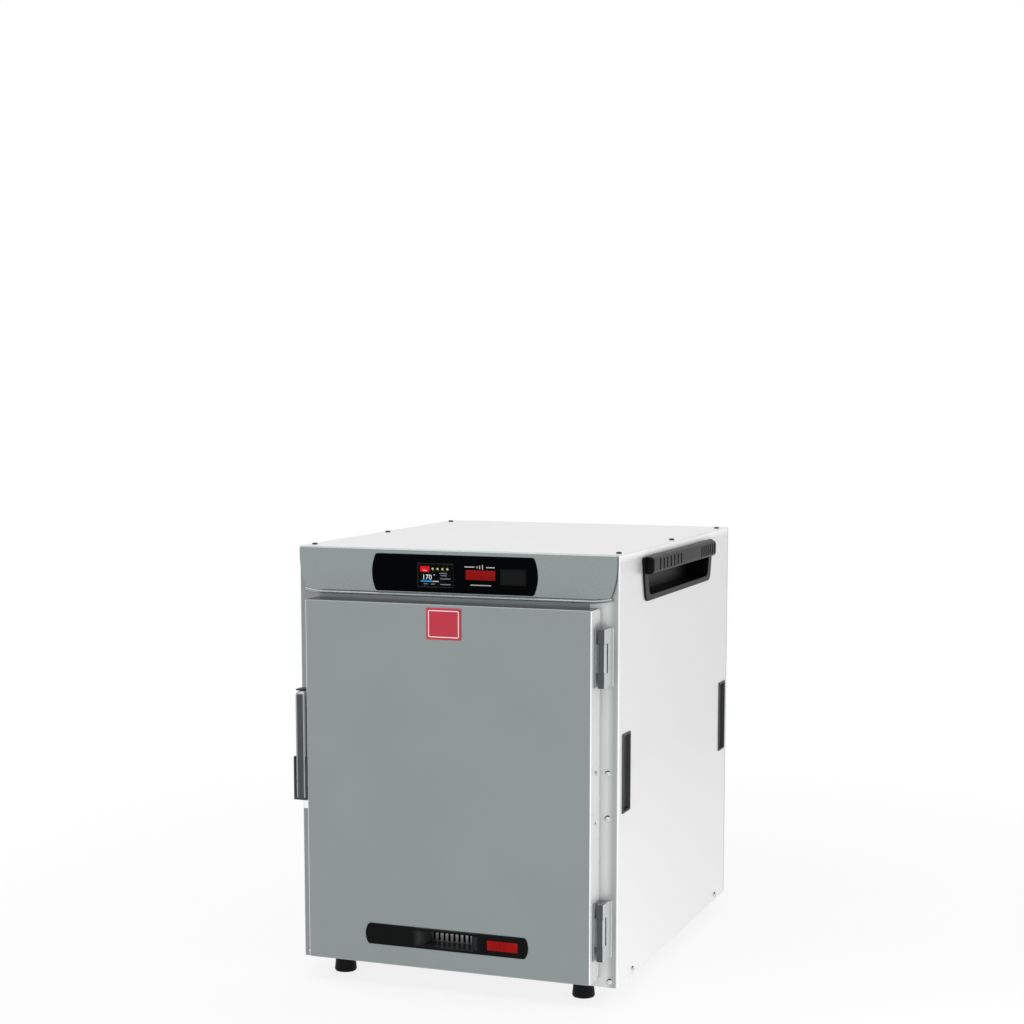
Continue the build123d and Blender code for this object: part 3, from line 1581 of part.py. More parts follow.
nodes = {
    "right_side_panel": right_panel,
    "left_side_panel": other_side(right_panel),
    "top_panel": top_panel(),
    "back_panel": back_panel(),
    "base_pan": base_pan(),
    "lower_front_rail": lower_front_rail(),
    "upper_front_rail": upper_front_rail(),
    "header_fascia": header_fascia(),
    "cavity_liner": cavity_liner(),
    "wall_insulation": wall_insulation(),
    "service_deck": service_deck(),
    "right_side_handle": right_handle,
    "left_side_handle": other_side(right_handle),
    "side_recess_cups": group(on_both_sides(right_cups)),
    "rubber_feet": group(rubber_foot(x, y) for x, y in foot_places()),
    "foot_bolts": group(foot_bolt(x, y) for x, y in foot_places()),
    "top_screws": group(dome_screw(seat, (0, 0, 1)) for seat in top_seats),
    "casing_screws": group(dome_screw(seat, direction) for seat, direction in casing_seats),
    "control_panel": control_panel(),
    "display_window": display_window(),
    "display_module": display_module(),
    "control_board": control_board(),
    "switch_housing": switch_housing(),
    "power_rocker": power_rocker(),
    "humidity_vent_duct": humidity_vent_duct(),
    "humidity_vent_knob": humidity_vent_knob(),
    "humidity_vent_shutter": humidity_vent_shutter(),
    "door_outer_skin": door_outer_skin(),
    "door_inner_liner": door_inner_liner(),
    "door_insulation": door_insulation(),
    "door_gasket": door_gasket(),
    "door_vent_bezel": door_vent_bezel(),
    "door_vent_knob": door_vent_knob(),
    "door_vent_shutter": door_vent_shutter(),
    "door_edge_screws": group(door_edge_screws()),
    "badge_plate": badge_plate(),
    "upper_hinge_frame_leaf": hinge_frame_leaf(upper_hinge_z),
    "upper_hinge_door_leaf": hinge_door_leaf(upper_hinge_z),
    "lower_hinge_frame_leaf": hinge_frame_leaf(lower_hinge_z),
    "lower_hinge_door_leaf": hinge_door_leaf(lower_hinge_z),
    "hinge_pins": group(hinge_pin(z) for z in (upper_hinge_z, lower_hinge_z)),
    "latch_housing": latch_housing(),
    "latch_lever": latch_lever(),
    "latch_lever_cap": latch_lever_cap(),
    "latch_pivot_pin": latch_pivot_pin(),
    "latch_lever_spring": latch_lever_spring(),
    "latch_magnet": latch_magnet(),
    "strike_plate": strike_plate(),
    "slide_uprights": group(on_both_sides(right_slide_uprights())),
    "slide_runners": group(on_both_sides(right_slide_runners())),
    "air_plenum": air_plenum(),
    "rear_air_panel": rear_air_panel(),
    "fan_guard": fan_guard(),
    "fan_motor": fan_motor(),
    "fan_shaft": fan_shaft(),
    "fan_impeller": fan_impeller(),
    "heating_element": heating_element(),
    "temperature_probe": temperature_probe(),
    "power_inlet": power_inlet(),
    "wiring_harness": group(wiring_harness()),
}

# Move to the part's own frame and write one file for each node
front_reach = vent_front - vent_knob_proud
back_reach = body_depth + seam + inlet_proud
place = Pos(0, -(front_reach + back_reach) / 2, foot_height)
os.makedirs("parts", exist_ok=True)
for name, shape in nodes.items():
    export_step(place * shape, f"parts/{name}.step")
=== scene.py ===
import math

import bmesh
import bpy
from mathutils import Euler, Matrix, Vector


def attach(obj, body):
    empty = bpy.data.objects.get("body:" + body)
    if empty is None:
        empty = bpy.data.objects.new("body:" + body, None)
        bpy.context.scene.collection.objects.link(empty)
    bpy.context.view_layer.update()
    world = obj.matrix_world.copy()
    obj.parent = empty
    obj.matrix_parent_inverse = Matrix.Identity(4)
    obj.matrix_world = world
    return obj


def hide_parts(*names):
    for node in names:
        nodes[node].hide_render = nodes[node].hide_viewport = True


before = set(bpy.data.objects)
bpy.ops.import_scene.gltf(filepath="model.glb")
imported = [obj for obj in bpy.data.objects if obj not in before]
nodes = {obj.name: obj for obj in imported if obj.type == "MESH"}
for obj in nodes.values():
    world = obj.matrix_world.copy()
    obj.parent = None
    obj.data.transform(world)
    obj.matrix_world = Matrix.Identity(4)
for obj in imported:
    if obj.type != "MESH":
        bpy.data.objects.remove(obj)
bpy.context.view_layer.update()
mm = 0.001
print("frame loaded:", len(nodes), "nodes")


# places are given as in the drawing, in mm: front frame face at y 0, casing underside at z 0
drawing = {"frontFaceY": -341.6, "feetZ": 28.0}


def spot(x, y, z):
    return Vector((x, y + drawing["frontFaceY"], z + drawing["feetZ"])) * mm


# camera, solved from the casing's straight edges for a 1024 x 1024 picture
cameraSetup = {
    "lens": 71.3216, "sensor": 36.0, "shiftY": 0.125,
    "place": (1346.42, -3308.74, 1055.75),
    "turn": 20.5308, "tilt": 7.1997,           # degrees, to the left and down
    "near": 0.05, "far": 60.0,                 # m
}


def makeCamera():
    data = bpy.data.cameras.new("photoCamera")
    data.lens = cameraSetup["lens"]
    data.sensor_width = cameraSetup["sensor"]
    data.sensor_fit = "HORIZONTAL"
    data.shift_y = cameraSetup["shiftY"]
    data.clip_start, data.clip_end = cameraSetup["near"], cameraSetup["far"]
    camera = bpy.data.objects.new("photoCamera", data)
    bpy.context.scene.collection.objects.link(camera)
    camera.location = spot(*cameraSetup["place"])
    down = math.radians(90 - cameraSetup["tilt"])
    camera.rotation_euler = Euler((down, 0, math.radians(cameraSetup["turn"])), "XYZ")
    bpy.context.scene.camera = camera


makeCamera()
print("camera placed")


# colours and nodes
def linearColour(code):
    parts = [int(code[i:i + 2], 16) / 255 for i in (1, 3, 5)]
    linear = [c / 12.92 if c <= 0.04045 else ((c + 0.055) / 1.055) ** 2.4 for c in parts]
    return (*linear, 1.0)


def addNode(tree, kind, links=(), values=(), **settings):
    node = tree.nodes.new(kind)
    for key, value in settings.items():
        setattr(node, key, value)
    for socket, value in dict(values).items():
        node.inputs[socket].default_value = value
    for socket, source in dict(links).items():
        tree.links.new(source, node.inputs[socket])
    return node


def startMaterial(name, **shaderValues):
    material = bpy.data.materials.new(name)
    material.use_nodes = True
    tree = material.node_tree
    shader = tree.nodes["Principled BSDF"]
    for key, value in shaderValues.items():
        shader.inputs[key.replace("_", " ")].default_value = value
    return material, tree, shader


def patternPlace(tree, size):
    # the object's own coordinates, counted in sizes in mm: one for all axes, or one for each
    sizes = size if isinstance(size, (list, tuple)) else (size, size, size)
    place = addNode(tree, "ShaderNodeTexCoord")
    counted = addNode(tree, "ShaderNodeMapping", {"Vector": place.outputs["Object"]},
                      {"Scale": [1 / (each * mm) for each in sizes]})
    return counted.outputs["Vector"]


# how much of a face's direction lies along an axis, where its mask begins and where it is full
facing = {"face": (0.35, 0.9), "level": (0.2, 0.4), "outer": (0.2, 0.6), "bend": (0.985, 0.86)}


def facingMask(tree, place, axis, kind="face"):
    # 1 on faces that look along the axis, either way, in the object's own directions
    begin, full = facing[kind]
    normal = addNode(tree, "ShaderNodeSeparateXYZ", {"Vector": place.outputs["Normal"]})
    size = addNode(tree, "ShaderNodeMath", {0: normal.outputs[axis]}, operation="ABSOLUTE")
    return addNode(tree, "ShaderNodeMapRange", {"Value": size.outputs["Value"]},
                   {"From Min": begin, "From Max": full}).outputs["Result"]


def bendMask(tree, place):
    # 1 on rounded edges, where the face looks between the object's own directions
    begin, full = facing["bend"]
    normal = addNode(tree, "ShaderNodeSeparateXYZ", {"Vector": place.outputs["Normal"]})
    sizes = [addNode(tree, "ShaderNodeMath", {0: normal.outputs[axis]}, operation="ABSOLUTE")
             for axis in ("X", "Y", "Z")]
    most = sizes[0]
    for size in sizes[1:]:
        most = addNode(tree, "ShaderNodeMath",
                       {0: most.outputs["Value"], 1: size.outputs["Value"]}, operation="MAXIMUM")
    return addNode(tree, "ShaderNodeMapRange", {"Value": most.outputs["Value"]},
                   {"From Min": begin, "From Max": full}).outputs["Result"]


def reachMask(tree, place, axis, band, bothSides=False):
    # grows from 0 to 1 between the band's two places along an axis of the frame, in mm
    spread = addNode(tree, "ShaderNodeSeparateXYZ", {"Vector": place.outputs["Object"]})
    where = spread.outputs[axis]
    if bothSides:
        where = addNode(tree, "ShaderNodeMath", {0: where}, operation="ABSOLUTE").outputs["Value"]
    return addNode(tree, "ShaderNodeMapRange", {"Value": where},
                   {"From Min": band["from"] * mm, "From Max": band["to"] * mm}).outputs["Result"]


def layTones(tree, base, layers):
    # paints each tone over those before it, where its mask is 1; a tone is a colour code or the
    # output of another pattern
    for mask, tone in layers:
        mix = addNode(tree, "ShaderNodeMix", {"Factor": mask}, data_type="RGBA")
        for socket, colour in (("A", base), ("B", tone)):
            if isinstance(colour, str):
                mix.inputs[socket].default_value = linearColour(colour)
            else:
                tree.links.new(colour, mix.inputs[socket])
        base = mix.outputs["Result"]
    return base


def dressShader(tree, shader, base, pattern, rough=None, relief=None):
    # the pattern spreads the roughness between two values and stands out by the relief's strength
    # and its depth in mm
    tree.links.new(base, shader.inputs["Base Color"])
    if rough:
        spread = addNode(tree, "ShaderNodeMapRange", {"Value": pattern},
                         {"To Min": rough[0], "To Max": rough[1]})
        tree.links.new(spread.outputs["Result"], shader.inputs["Roughness"])
    if relief:
        bump = addNode(tree, "ShaderNodeBump", {"Height": pattern},
                       {"Strength": relief[0], "Distance": relief[1] * mm})
        tree.links.new(bump.outputs["Normal"], shader.inputs["Normal"])


roughSpread = {"either": 0.05, "least": 0.02}


def roughAround(rough):
    return max(rough - roughSpread["either"], roughSpread["least"]), rough + roughSpread["either"]


# satin metal, sheet or cast: a fine grain in one direction over broad faint clouds gives the eye a
# dull mirror; folds and sides get painted light and shade, lighter or darker tones than the face in
# place of the other parts of the studio they would mirror; a real grain is about 0.1 mm wide and is
# drawn nine times coarser, so that it shows
grain = {"length": 14.0, "width": 0.1 * 9, "cloud": 160.0, "depth": 0.2}   # mm
cloudContrast = 2.0                            # the product of both patterns is doubled


def satinMetal(name, tones, rough, metal=0.9, along=0, relief=0.03):
    material, tree, shader = startMaterial(name, Metallic=metal)
    place = addNode(tree, "ShaderNodeTexCoord")
    lineSize = [grain["width"]] * 3
    lineSize[along] = grain["length"]
    lines = addNode(tree, "ShaderNodeTexNoise", {"Vector": patternPlace(tree, lineSize)},
                    {"Scale": 1.0, "Detail": 3.0, "Roughness": 0.6})
    clouds = addNode(tree, "ShaderNodeTexNoise", {"Vector": patternPlace(tree, grain["cloud"])},
                     {"Scale": 1.0, "Detail": 2.0})
    blend = addNode(tree, "ShaderNodeMath", {0: lines.outputs["Fac"], 1: clouds.outputs["Fac"]},
                    operation="MULTIPLY")
    shade = addNode(tree, "ShaderNodeMapRange", {"Value": blend.outputs["Value"]},
                    {"To Max": cloudContrast})
    layers = [(shade.outputs["Result"], tones["light"])]
    if "slope" in tones:
        layers.append((reachMask(tree, place, "X", tones["slope"]), tones["slope"]["tone"]))
    if "side" in tones:
        # painted light: a side is lighter near the floor, as if lit by light the floor throws back,
        # and just under the top fold
        climb = [(reachMask(tree, place, "Z", tones[part]), tones[part]["tone"])
                 for part in ("low", "high") if part in tones]
        layers.append((facingMask(tree, place, "X"), layTones(tree, tones["side"], climb)))
    if "bend" in tones:
        layers.append((bendMask(tree, place), tones["bend"]))
    if "rim" in tones:
        # only the rounded edges along the top and the bottom
        level = addNode(tree, "ShaderNodeMath",
                        {0: bendMask(tree, place), 1: facingMask(tree, place, "Z", "level")},
                        operation="MULTIPLY")
        layers.append((level.outputs["Value"], tones["rim"]))
    if "deep" in tones:
        layers.append((reachMask(tree, place, "Y", tones["deep"]), tones["deep"]["tone"]))
    if "top" in tones:
        layers.append((facingMask(tree, place, "Z"), tones["top"]))
    if "sideMetal" in tones:
        # sides that show their own grey more than they mirror
        duller = addNode(tree, "ShaderNodeMapRange", {"Value": facingMask(tree, place, "X")},
                         {"To Min": metal, "To Max": tones["sideMetal"]})
        tree.links.new(duller.outputs["Result"], shader.inputs["Metallic"])
    dressShader(tree, shader, layTones(tree, tones["dark"], layers), lines.outputs["Fac"],
                roughAround(rough), (relief, grain["depth"]))
    return material


# moulded plastics and rubbers: a spark-eroded grain takes the glare off the matte ones, drawn five
# times coarser so that it shows, and the gloss ones have none
moulding = {"grain": 0.35 * 5, "cloud": 71.43, "depth": 0.3, "ior": 1.49}   # mm, but for the ior


def mouldedPlastic(name, darkCode, lightCode, rough, relief=0.08, shine=0.5, bands=()):
    material, tree, shader = startMaterial(name, IOR=moulding["ior"], Specular_IOR_Level=shine)
    place = addNode(tree, "ShaderNodeTexCoord")
    grains = addNode(tree, "ShaderNodeTexNoise", {"Vector": patternPlace(tree, moulding["grain"])},
                     {"Scale": 1.0, "Detail": 2.0})
    clouds = addNode(tree, "ShaderNodeTexNoise", {"Vector": patternPlace(tree, moulding["cloud"])},
                     {"Scale": 1.0, "Detail": 2.0})
    layers = [(clouds.outputs["Fac"], lightCode)]
    for band in bands:
        # painted light and shade, one tone for each band, on faces that look sideways or up, in
        # between two distances from the cabinet's middle
        sideways = facingMask(tree, place, "X", "outer")
        level = facingMask(tree, place, "Z", "outer")
        turned = addNode(tree, "ShaderNodeMath", {0: sideways, 1: level}, operation="MAXIMUM")
        far = reachMask(tree, place, "X", band, bothSides=True)
        both = addNode(tree, "ShaderNodeMath", {0: far, 1: turned.outputs["Value"]},
                       operation="MULTIPLY")
        layers.append((both.outputs["Value"], band["tone"]))
    dressShader(tree, shader, layTones(tree, darkCode, layers), grains.outputs["Fac"],
                roughAround(rough), (relief, moulding["depth"]) if relief else None)
    return material


# turned, drawn and plated metal parts: clean, clear highlights and a faint mottle, which is about
# 2.5 mm across and drawn four times coarser, so that it shows
mottle = {"size": 2.5 * 4, "smoother": 0.05, "rougher": 0.06}   # mm, and roughness to either side


def brightMetal(name, darkCode, lightCode, rough, shade=None):
    material, tree, shader = startMaterial(name, Metallic=1.0)
    spots = addNode(tree, "ShaderNodeTexNoise", {"Vector": patternPlace(tree, mottle["size"])},
                    {"Scale": 1.0, "Detail": 3.0})
    layers = [(spots.outputs["Fac"], lightCode)]
    if shade:
        # painted reflection: the side of a small dome that looks up is painted dark, for the dark
        # room above the lamps that it would mirror
        place = addNode(tree, "ShaderNodeTexCoord")
        upward = addNode(tree, "ShaderNodeVectorMath", {0: place.outputs["Normal"]},
                         {1: shade["toward"]}, operation="DOT_PRODUCT")
        dark = addNode(tree, "ShaderNodeMapRange", {"Value": upward.outputs["Value"]},
                       {"From Min": shade["from"], "From Max": shade["to"]})
        layers.append((dark.outputs["Result"], shade["tone"]))
    dressShader(tree, shader, layTones(tree, darkCode, layers), spots.outputs["Fac"],
                (rough - mottle["smoother"], rough + mottle["rougher"]))
    return material


# glass fibre batt: pale yellow and soft with no highlight, matted in bundles of these sizes in mm
batt = {"strand": (4.0, 11.11, 16.67), "depth": 2.0, "relief": 0.6, "rough": 0.95, "sheen": 0.3}


def fibreBatt(name, darkCode, lightCode):
    material, tree, shader = startMaterial(name, Roughness=batt["rough"],
                                           Sheen_Weight=batt["sheen"])
    strands = addNode(tree, "ShaderNodeTexNoise", {"Vector": patternPlace(tree, batt["strand"])},
                      {"Scale": 1.0, "Detail": 6.0})
    dressShader(tree, shader, layTones(tree, darkCode, [(strands.outputs["Fac"], lightCode)]),
                strands.outputs["Fac"], relief=(batt["relief"], batt["depth"]))
    return material


# coated display glass: clear and nearly free of glare, with faint finger smears
smears = {"size": 16.67, "rough": (0.01, 0.03), "ior": 1.06}   # size in mm


def clearGlass(name, darkCode, lightCode):
    material, tree, shader = startMaterial(name, IOR=smears["ior"], Transmission_Weight=1.0)
    smear = addNode(tree, "ShaderNodeTexNoise", {"Vector": patternPlace(tree, smears["size"])},
                    {"Scale": 1.0, "Detail": 2.0})
    dressShader(tree, shader, layTones(tree, darkCode, [(smear.outputs["Fac"], lightCode)]),
                smear.outputs["Fac"], smears["rough"])
    return material


# lit picture elements of the display: a flat glow with a faint grid between the elements, which are
# drawn about ten times coarser than real ones; size in mm, gap as a share of it
pixels = {"size": 1.1111, "gap": 0.01, "gapTone": "#101214", "rough": 0.6, "shine": 0.04}


def litPixels(name, code, strength):
    material, tree, shader = startMaterial(name, Roughness=pixels["rough"],
                                           Specular_IOR_Level=pixels["shine"],
                                           Emission_Strength=strength)
    grid = addNode(tree, "ShaderNodeTexBrick", {"Vector": patternPlace(tree, pixels["size"])},
                   {"Scale": 1.0, "Mortar Size": pixels["gap"], "Color1": linearColour(code),
                    "Color2": linearColour(code), "Mortar": linearColour(pixels["gapTone"])},
                   offset=0.0)
    tree.links.new(grid.outputs["Color"], shader.inputs["Base Color"])
    tree.links.new(grid.outputs["Color"], shader.inputs["Emission Color"])
    return material


# tones of the metals: dark and light are the face's own clouds; side, bend, rim and top are painted
# light and shade for faces that look sideways, rounded edges, level rounded edges and faces that
# look up or down; slope, low, high and deep are painted light too, and come in between two places,
# in mm of the frame
# door: top and bottom faces painted dark, a painted shade under the header; sides and bends light
doorTones = {"dark": "#8C9594", "light": "#929B9A", "side": "#CED0CF", "top": "#454A4A",
             "bend": "#F4F6F6", "rim": "#9FA6A5", "sideMetal": 0.15}
headerTones = {"dark": "#8F9897", "light": "#939C9B", "side": "#555A5A", "top": "#C2C6C5"}
railTones = {"dark": "#8A8F8F", "light": "#919696", "side": "#A2A7A7", "top": "#8B9090"}
rightCasingTones = {"dark": "#A3A7A6", "light": "#ABAFAE", "side": "#DADADA", "top": "#F2F2F2",
                    # slope: painted light on the front stile, lighter toward the door's edge
                    "bend": "#EEF0F0", "slope": {"tone": "#D6D9D8", "from": 295.0, "to": 284.0},
                    "low": {"tone": "#EDEDED", "from": 430.0, "to": 20.0},
                    "high": {"tone": "#F4F4F4", "from": 778.0, "to": 788.0}}
leftCasingTones = {"dark": "#8D9291", "light": "#939897", "side": "#C9CBCA", "top": "#D8DAD9"}
topTones = {"dark": "#DFDFDF", "light": "#E5E5E5", "side": "#E8E8E8"}
backTones = {"dark": "#BDC0C0", "light": "#C5C8C8", "side": "#CDCFCE"}
insideTones = {"dark": "#A9ADAD", "light": "#B5B8B8"}
hingeTones = {"dark": "#4B5052", "light": "#555A5C", "side": "#C8CCCC", "top": "#8B8F90",
              "bend": "#6E7476", "sideMetal": 0.45,
              # painted light, from the knuckles back to the leaf
              "deep": {"tone": "#C9CDCD", "from": -357.6, "to": -345.6}}
leafTones = {"dark": "#4B5052", "light": "#555A5C", "side": "#BEC2C2", "top": "#8B8F90",
             "bend": "#B4B8B8", "sideMetal": 0.3,
             # slope: painted light on the door leaf's plate, which sits in shade beside the
             # knuckles
             "slope": {"tone": "#8E9394", "from": 276.5, "to": 275.5}}
leverTones = {"dark": "#474C4E", "light": "#515658", "side": "#B0B4B5", "top": "#B4B8B9",
              "bend": "#A2A7A9", "sideMetal": 0.2,
              # slope: painted light, the lever lighter toward its left
              "slope": {"tone": "#666B6D", "from": -303.0, "to": -311.0}}
housingTones = {"dark": "#424546", "light": "#4C4F50", "side": "#7C8081", "top": "#6A6E6F"}
# near white: a painted reflection of the bright studio in the polished plate
strikeTones = {"dark": "#F0F2F2", "light": "#F6F8F8"}
beadTones = {"dark": "#959B9A", "light": "#A0A6A5",
             # slope: a painted highlight toward the bead's right end
             "slope": {"tone": "#F0F2F2", "from": 262.0, "to": 286.0}}
# painted reflection on the screw heads: dark toward the upper left, between these shares of
# that direction
screwShade = {"toward": (-0.5, 0.0, 0.86), "from": 0.02, "to": 0.3, "tone": "#3C3F40"}

# bands of the plastics, painted light and shade: the handles' faces that look sideways or up are
# painted greyer, the pockets' lips are painted in shade and the door vent's throat is painted as
# catching light; in mm from the cabinet's middle
handleBands = ({"tone": "#1E2021", "from": 308.7, "to": 310.5},
               {"tone": "#141516", "from": 314.0, "to": 318.0})
cupBands = ({"tone": "#2C2D2E", "from": 304.0, "to": 304.6},)
throatBands = ({"tone": "#2E2F30", "from": 63.5, "to": 61.5},)

# after the tones: a metal's roughness and share of metal; a plastic's roughness, relief and shine
finishes = {
    # stainless sheet with a satin polish: soft-edged reflections, no sparkle; it is one steel in
    # lit and shaded copies, with painted light and shade: the front pieces darker, the rail darker
    # still, the top, sides and back lighter, the left casing less light than the right
    "doorSteel": satinMetal("satinStainlessDoor", doorTones, 0.22, 0.85, relief=0.008),
    "headerSteel": satinMetal("satinStainlessHeader", headerTones, 0.26, 0.85, relief=0.008),
    "railSteel": satinMetal("satinStainlessRail", railTones, 0.3, 0.85),
    "rightCasingSteel": satinMetal("satinStainlessRightCasing", rightCasingTones, 0.34, 0.6,
                                   along=1),
    "leftCasingSteel": satinMetal("satinStainlessLeftCasing", leftCasingTones, 0.34, 0.6, along=1),
    "topSteel": satinMetal("satinStainlessTop", topTones, 0.34, 0.6, along=1),
    "backSteel": satinMetal("satinStainlessBack", backTones, 0.34, 0.6),
    "innerSteel": satinMetal("satinStainlessInside", insideTones, 0.3, 0.9, along=1),
    "beadSteel": satinMetal("rolledHemPaintedHighlight", beadTones, 0.3, 0.9, relief=0.005),
    # castings, ground and plated: darker than the sheet, with painted light on sides and edges
    "hingeSteel": satinMetal("castHingeMetal", hingeTones, 0.3, 0.95, along=2),
    "leafSteel": satinMetal("castHingeLeaf", leafTones, 0.3, 0.9, along=2),
    "leverSteel": satinMetal("castLeverMetal", leverTones, 0.24, 0.95, along=2),
    "housingSteel": satinMetal("castLatchHousing", housingTones, 0.34, 0.9, along=2),
    "strikeSteel": satinMetal("polishedStrikePlatePaintedGlare", strikeTones, 0.12, 0.95, along=2, relief=0.01),
    # small metal parts: bright points against the sheet, or near black
    "screwSteel": brightMetal("platedScrewSteel", "#D2D5D6", "#E8EAEB", 0.14, screwShade),
    "wireSteel": brightMetal("brightDrawnWire", "#A4A8A9", "#C4C7C8", 0.22),
    "darkScrew": brightMetal("blackOxideScrew", "#2A2C2E", "#3C3F41", 0.38),
    "castAluminium": brightMetal("castAluminium", "#A6A9AB", "#C2C5C7", 0.42),
    "heaterSheath": brightMetal("heatTintedSheath", "#5E5549", "#7C7468", 0.45),
    # injection-moulded nylon: matte black, with painted light and shade on handles and pockets
    "blackNylon": mouldedPlastic("mouldedBlackNylon", "#1C1D1E", "#292A2B", 0.42, 0.12, 0.3),
    "handleNylon": mouldedPlastic("mouldedHandleNylon", "#070808", "#0C0D0D", 0.4, 0.1, 0.1,
                                  handleBands),
    "cupNylon": mouldedPlastic("mouldedCupNylon", "#3B3D3E", "#444647", 0.4, 0.1, 0.2, cupBands),
    # panel plastics: deep black with little glare
    "blackGloss": mouldedPlastic("glossBlackAcrylic", "#010203", "#020305", 0.1, 0.0, 0.02),
    "blackBezel": mouldedPlastic("satinBlackBezel", "#050606", "#0A0B0B", 0.34, 0.05, 0.08,
                                 throatBands),
    "blackSwitch": mouldedPlastic("satinBlackSwitch", "#0B0B0C", "#121213", 0.4, 0.05, 0.1),
    # coloured mouldings and prints: even colour, soft highlights
    "redKnob": mouldedPlastic("mouldedRedAcetal", "#900B09", "#A40E0B", 0.36, 0.05, 0.12),
    "badgeRed": mouldedPlastic("domedBadgeRed", "#B8253B", "#C22C42", 0.25, 0.0, 0.4),
    "badgeEdge": mouldedPlastic("badgeBorderWhite", "#F0E4E6", "#F6ECEE", 0.3, 0.0),
    "printWhite": mouldedPlastic("screenPrintWhite", "#B9BCBD", "#C6C9CA", 0.5, 0.0),
    "leadCover": mouldedPlastic("siliconeLeadCover", "#7A1B14", "#922219", 0.5, 0.05),
    # rubbers, ferrite and lacquered board: dry and matte
    "gasketRubber": mouldedPlastic("greySiliconeGasket", "#CBCFCE", "#D5D9D8", 0.6, 0.1),
    "footRubber": mouldedPlastic("mouldedRubberFoot", "#090A0A", "#111213", 0.55, 0.15, 0.12),
    "ferrite": mouldedPlastic("sinteredFerrite", "#2C2C2E", "#3A3A3C", 0.7, 0.2),
    "boardGreen": mouldedPlastic("lacqueredCircuitBoard", "#0E4A27", "#166234", 0.35, 0.0),
    "fibre": fibreBatt("glassFibreBatt", "#B9AC74", "#E9E0B4"),
    "glass": clearGlass("displayGlass", "#EEF2F4", "#F8FAFB"),
}

finishOfNode = {
    "doorSteel": ["door_outer_skin"],
    "headerSteel": ["header_fascia", "lower_front_rail"],
    "railSteel": ["upper_front_rail"],
    "rightCasingSteel": ["right_side_panel"],
    "leftCasingSteel": ["left_side_panel"],
    "topSteel": ["top_panel"],
    "backSteel": ["back_panel", "base_pan"],
    "innerSteel": ["cavity_liner", "door_inner_liner", "service_deck", "humidity_vent_duct",
                   "slide_uprights", "slide_runners", "air_plenum", "rear_air_panel",
                   "humidity_vent_shutter", "door_vent_shutter"],
    "hingeSteel": ["upper_hinge_frame_leaf", "lower_hinge_frame_leaf", "hinge_pins"],
    "leafSteel": ["upper_hinge_door_leaf", "lower_hinge_door_leaf"],
    "leverSteel": ["latch_lever", "latch_pivot_pin"],
    "housingSteel": ["latch_housing"],
    "strikeSteel": ["strike_plate"],
    "screwSteel": ["casing_screws", "door_edge_screws", "foot_bolts"],
    "wireSteel": ["fan_guard", "fan_shaft", "temperature_probe", "latch_lever_spring"],
    "darkScrew": ["top_screws"],
    "castAluminium": ["fan_motor", "fan_impeller"],
    "heaterSheath": ["heating_element"],
    "handleNylon": ["left_side_handle", "right_side_handle"],
    "cupNylon": ["side_recess_cups"],
    "blackNylon": ["latch_lever_cap", "power_inlet", "display_module"],
    "blackGloss": ["control_panel"],
    "blackBezel": ["door_vent_bezel"],
    "blackSwitch": ["switch_housing", "power_rocker"],
    "redKnob": ["door_vent_knob", "humidity_vent_knob"],
    "badgeRed": ["badge_plate"],
    "gasketRubber": ["door_gasket"],
    "footRubber": ["rubber_feet"],
    "ferrite": ["latch_magnet"],
    "boardGreen": ["control_board"],
    "leadCover": ["wiring_harness"],
    "fibre": ["wall_insulation", "door_insulation"],
    "glass": ["display_window"],
}
for finish, names in finishOfNode.items():
    for name in names:
        slots = nodes[name].data.materials
        slots.clear()
        slots.append(finishes[finish])
print("materials made and given to the frame")


# building pieces
meshCare = {"weld": 0.001, "bevelAbove": 40, "creaseAbove": 35, "segments": 2}   # mm, degrees


def newPiece(name, mesh, finish, body, replaced=()):
    piece = bpy.data.objects.new(name, mesh)
    bpy.context.scene.collection.objects.link(piece)
    mesh.materials.append(finishes[finish])
    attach(piece, body)
    if replaced:
        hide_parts(*replaced)


def meshFrom(name, build, bevel=0.0, smooth=True):
    # build fills a bmesh in drawing millimetres; sharp edges are rounded after that
    work = bmesh.new()
    build(work)
    bmesh.ops.remove_doubles(work, verts=work.verts, dist=meshCare["weld"])
    bmesh.ops.recalc_face_normals(work, faces=work.faces)
    if bevel:
        least = math.radians(meshCare["bevelAbove"])
        sharp = [edge for edge in work.edges
                 if edge.is_manifold and edge.calc_face_angle(0) > least]
        bmesh.ops.bevel(work, geom=sharp, offset=bevel, segments=meshCare["segments"], profile=0.5,
                        affect="EDGES", clamp_overlap=True)
    for vertex in work.verts:
        vertex.co = spot(*vertex.co)
    mesh = bpy.data.meshes.new(name)
    work.to_mesh(mesh)
    work.free()
    if smooth:
        mesh.shade_smooth()
        mesh.set_sharp_from_angle(angle=math.radians(meshCare["creaseAbove"]))
    return mesh


def addSlab(work, x, y, z):
    corners = [work.verts.new((a, b, c)) for c in z for b in y for a in x]
    for ring in ((0, 1, 3, 2), (4, 6, 7, 5), (0, 4, 5, 1),
                 (1, 5, 7, 3), (3, 7, 6, 2), (2, 6, 4, 0)):
        work.faces.new([corners[i] for i in ring])


def addPrism(work, outline, front, back):
    # outline is a list of (x, z), seen from the front
    near = [work.verts.new((x, front, z)) for x, z in outline]
    far = [work.verts.new((x, back, z)) for x, z in outline]
    work.faces.new(near)
    work.faces.new(list(reversed(far)))
    for i in range(len(near)):
        j = (i + 1) % len(near)
        work.faces.new((near[j], near[i], far[i], far[j]))


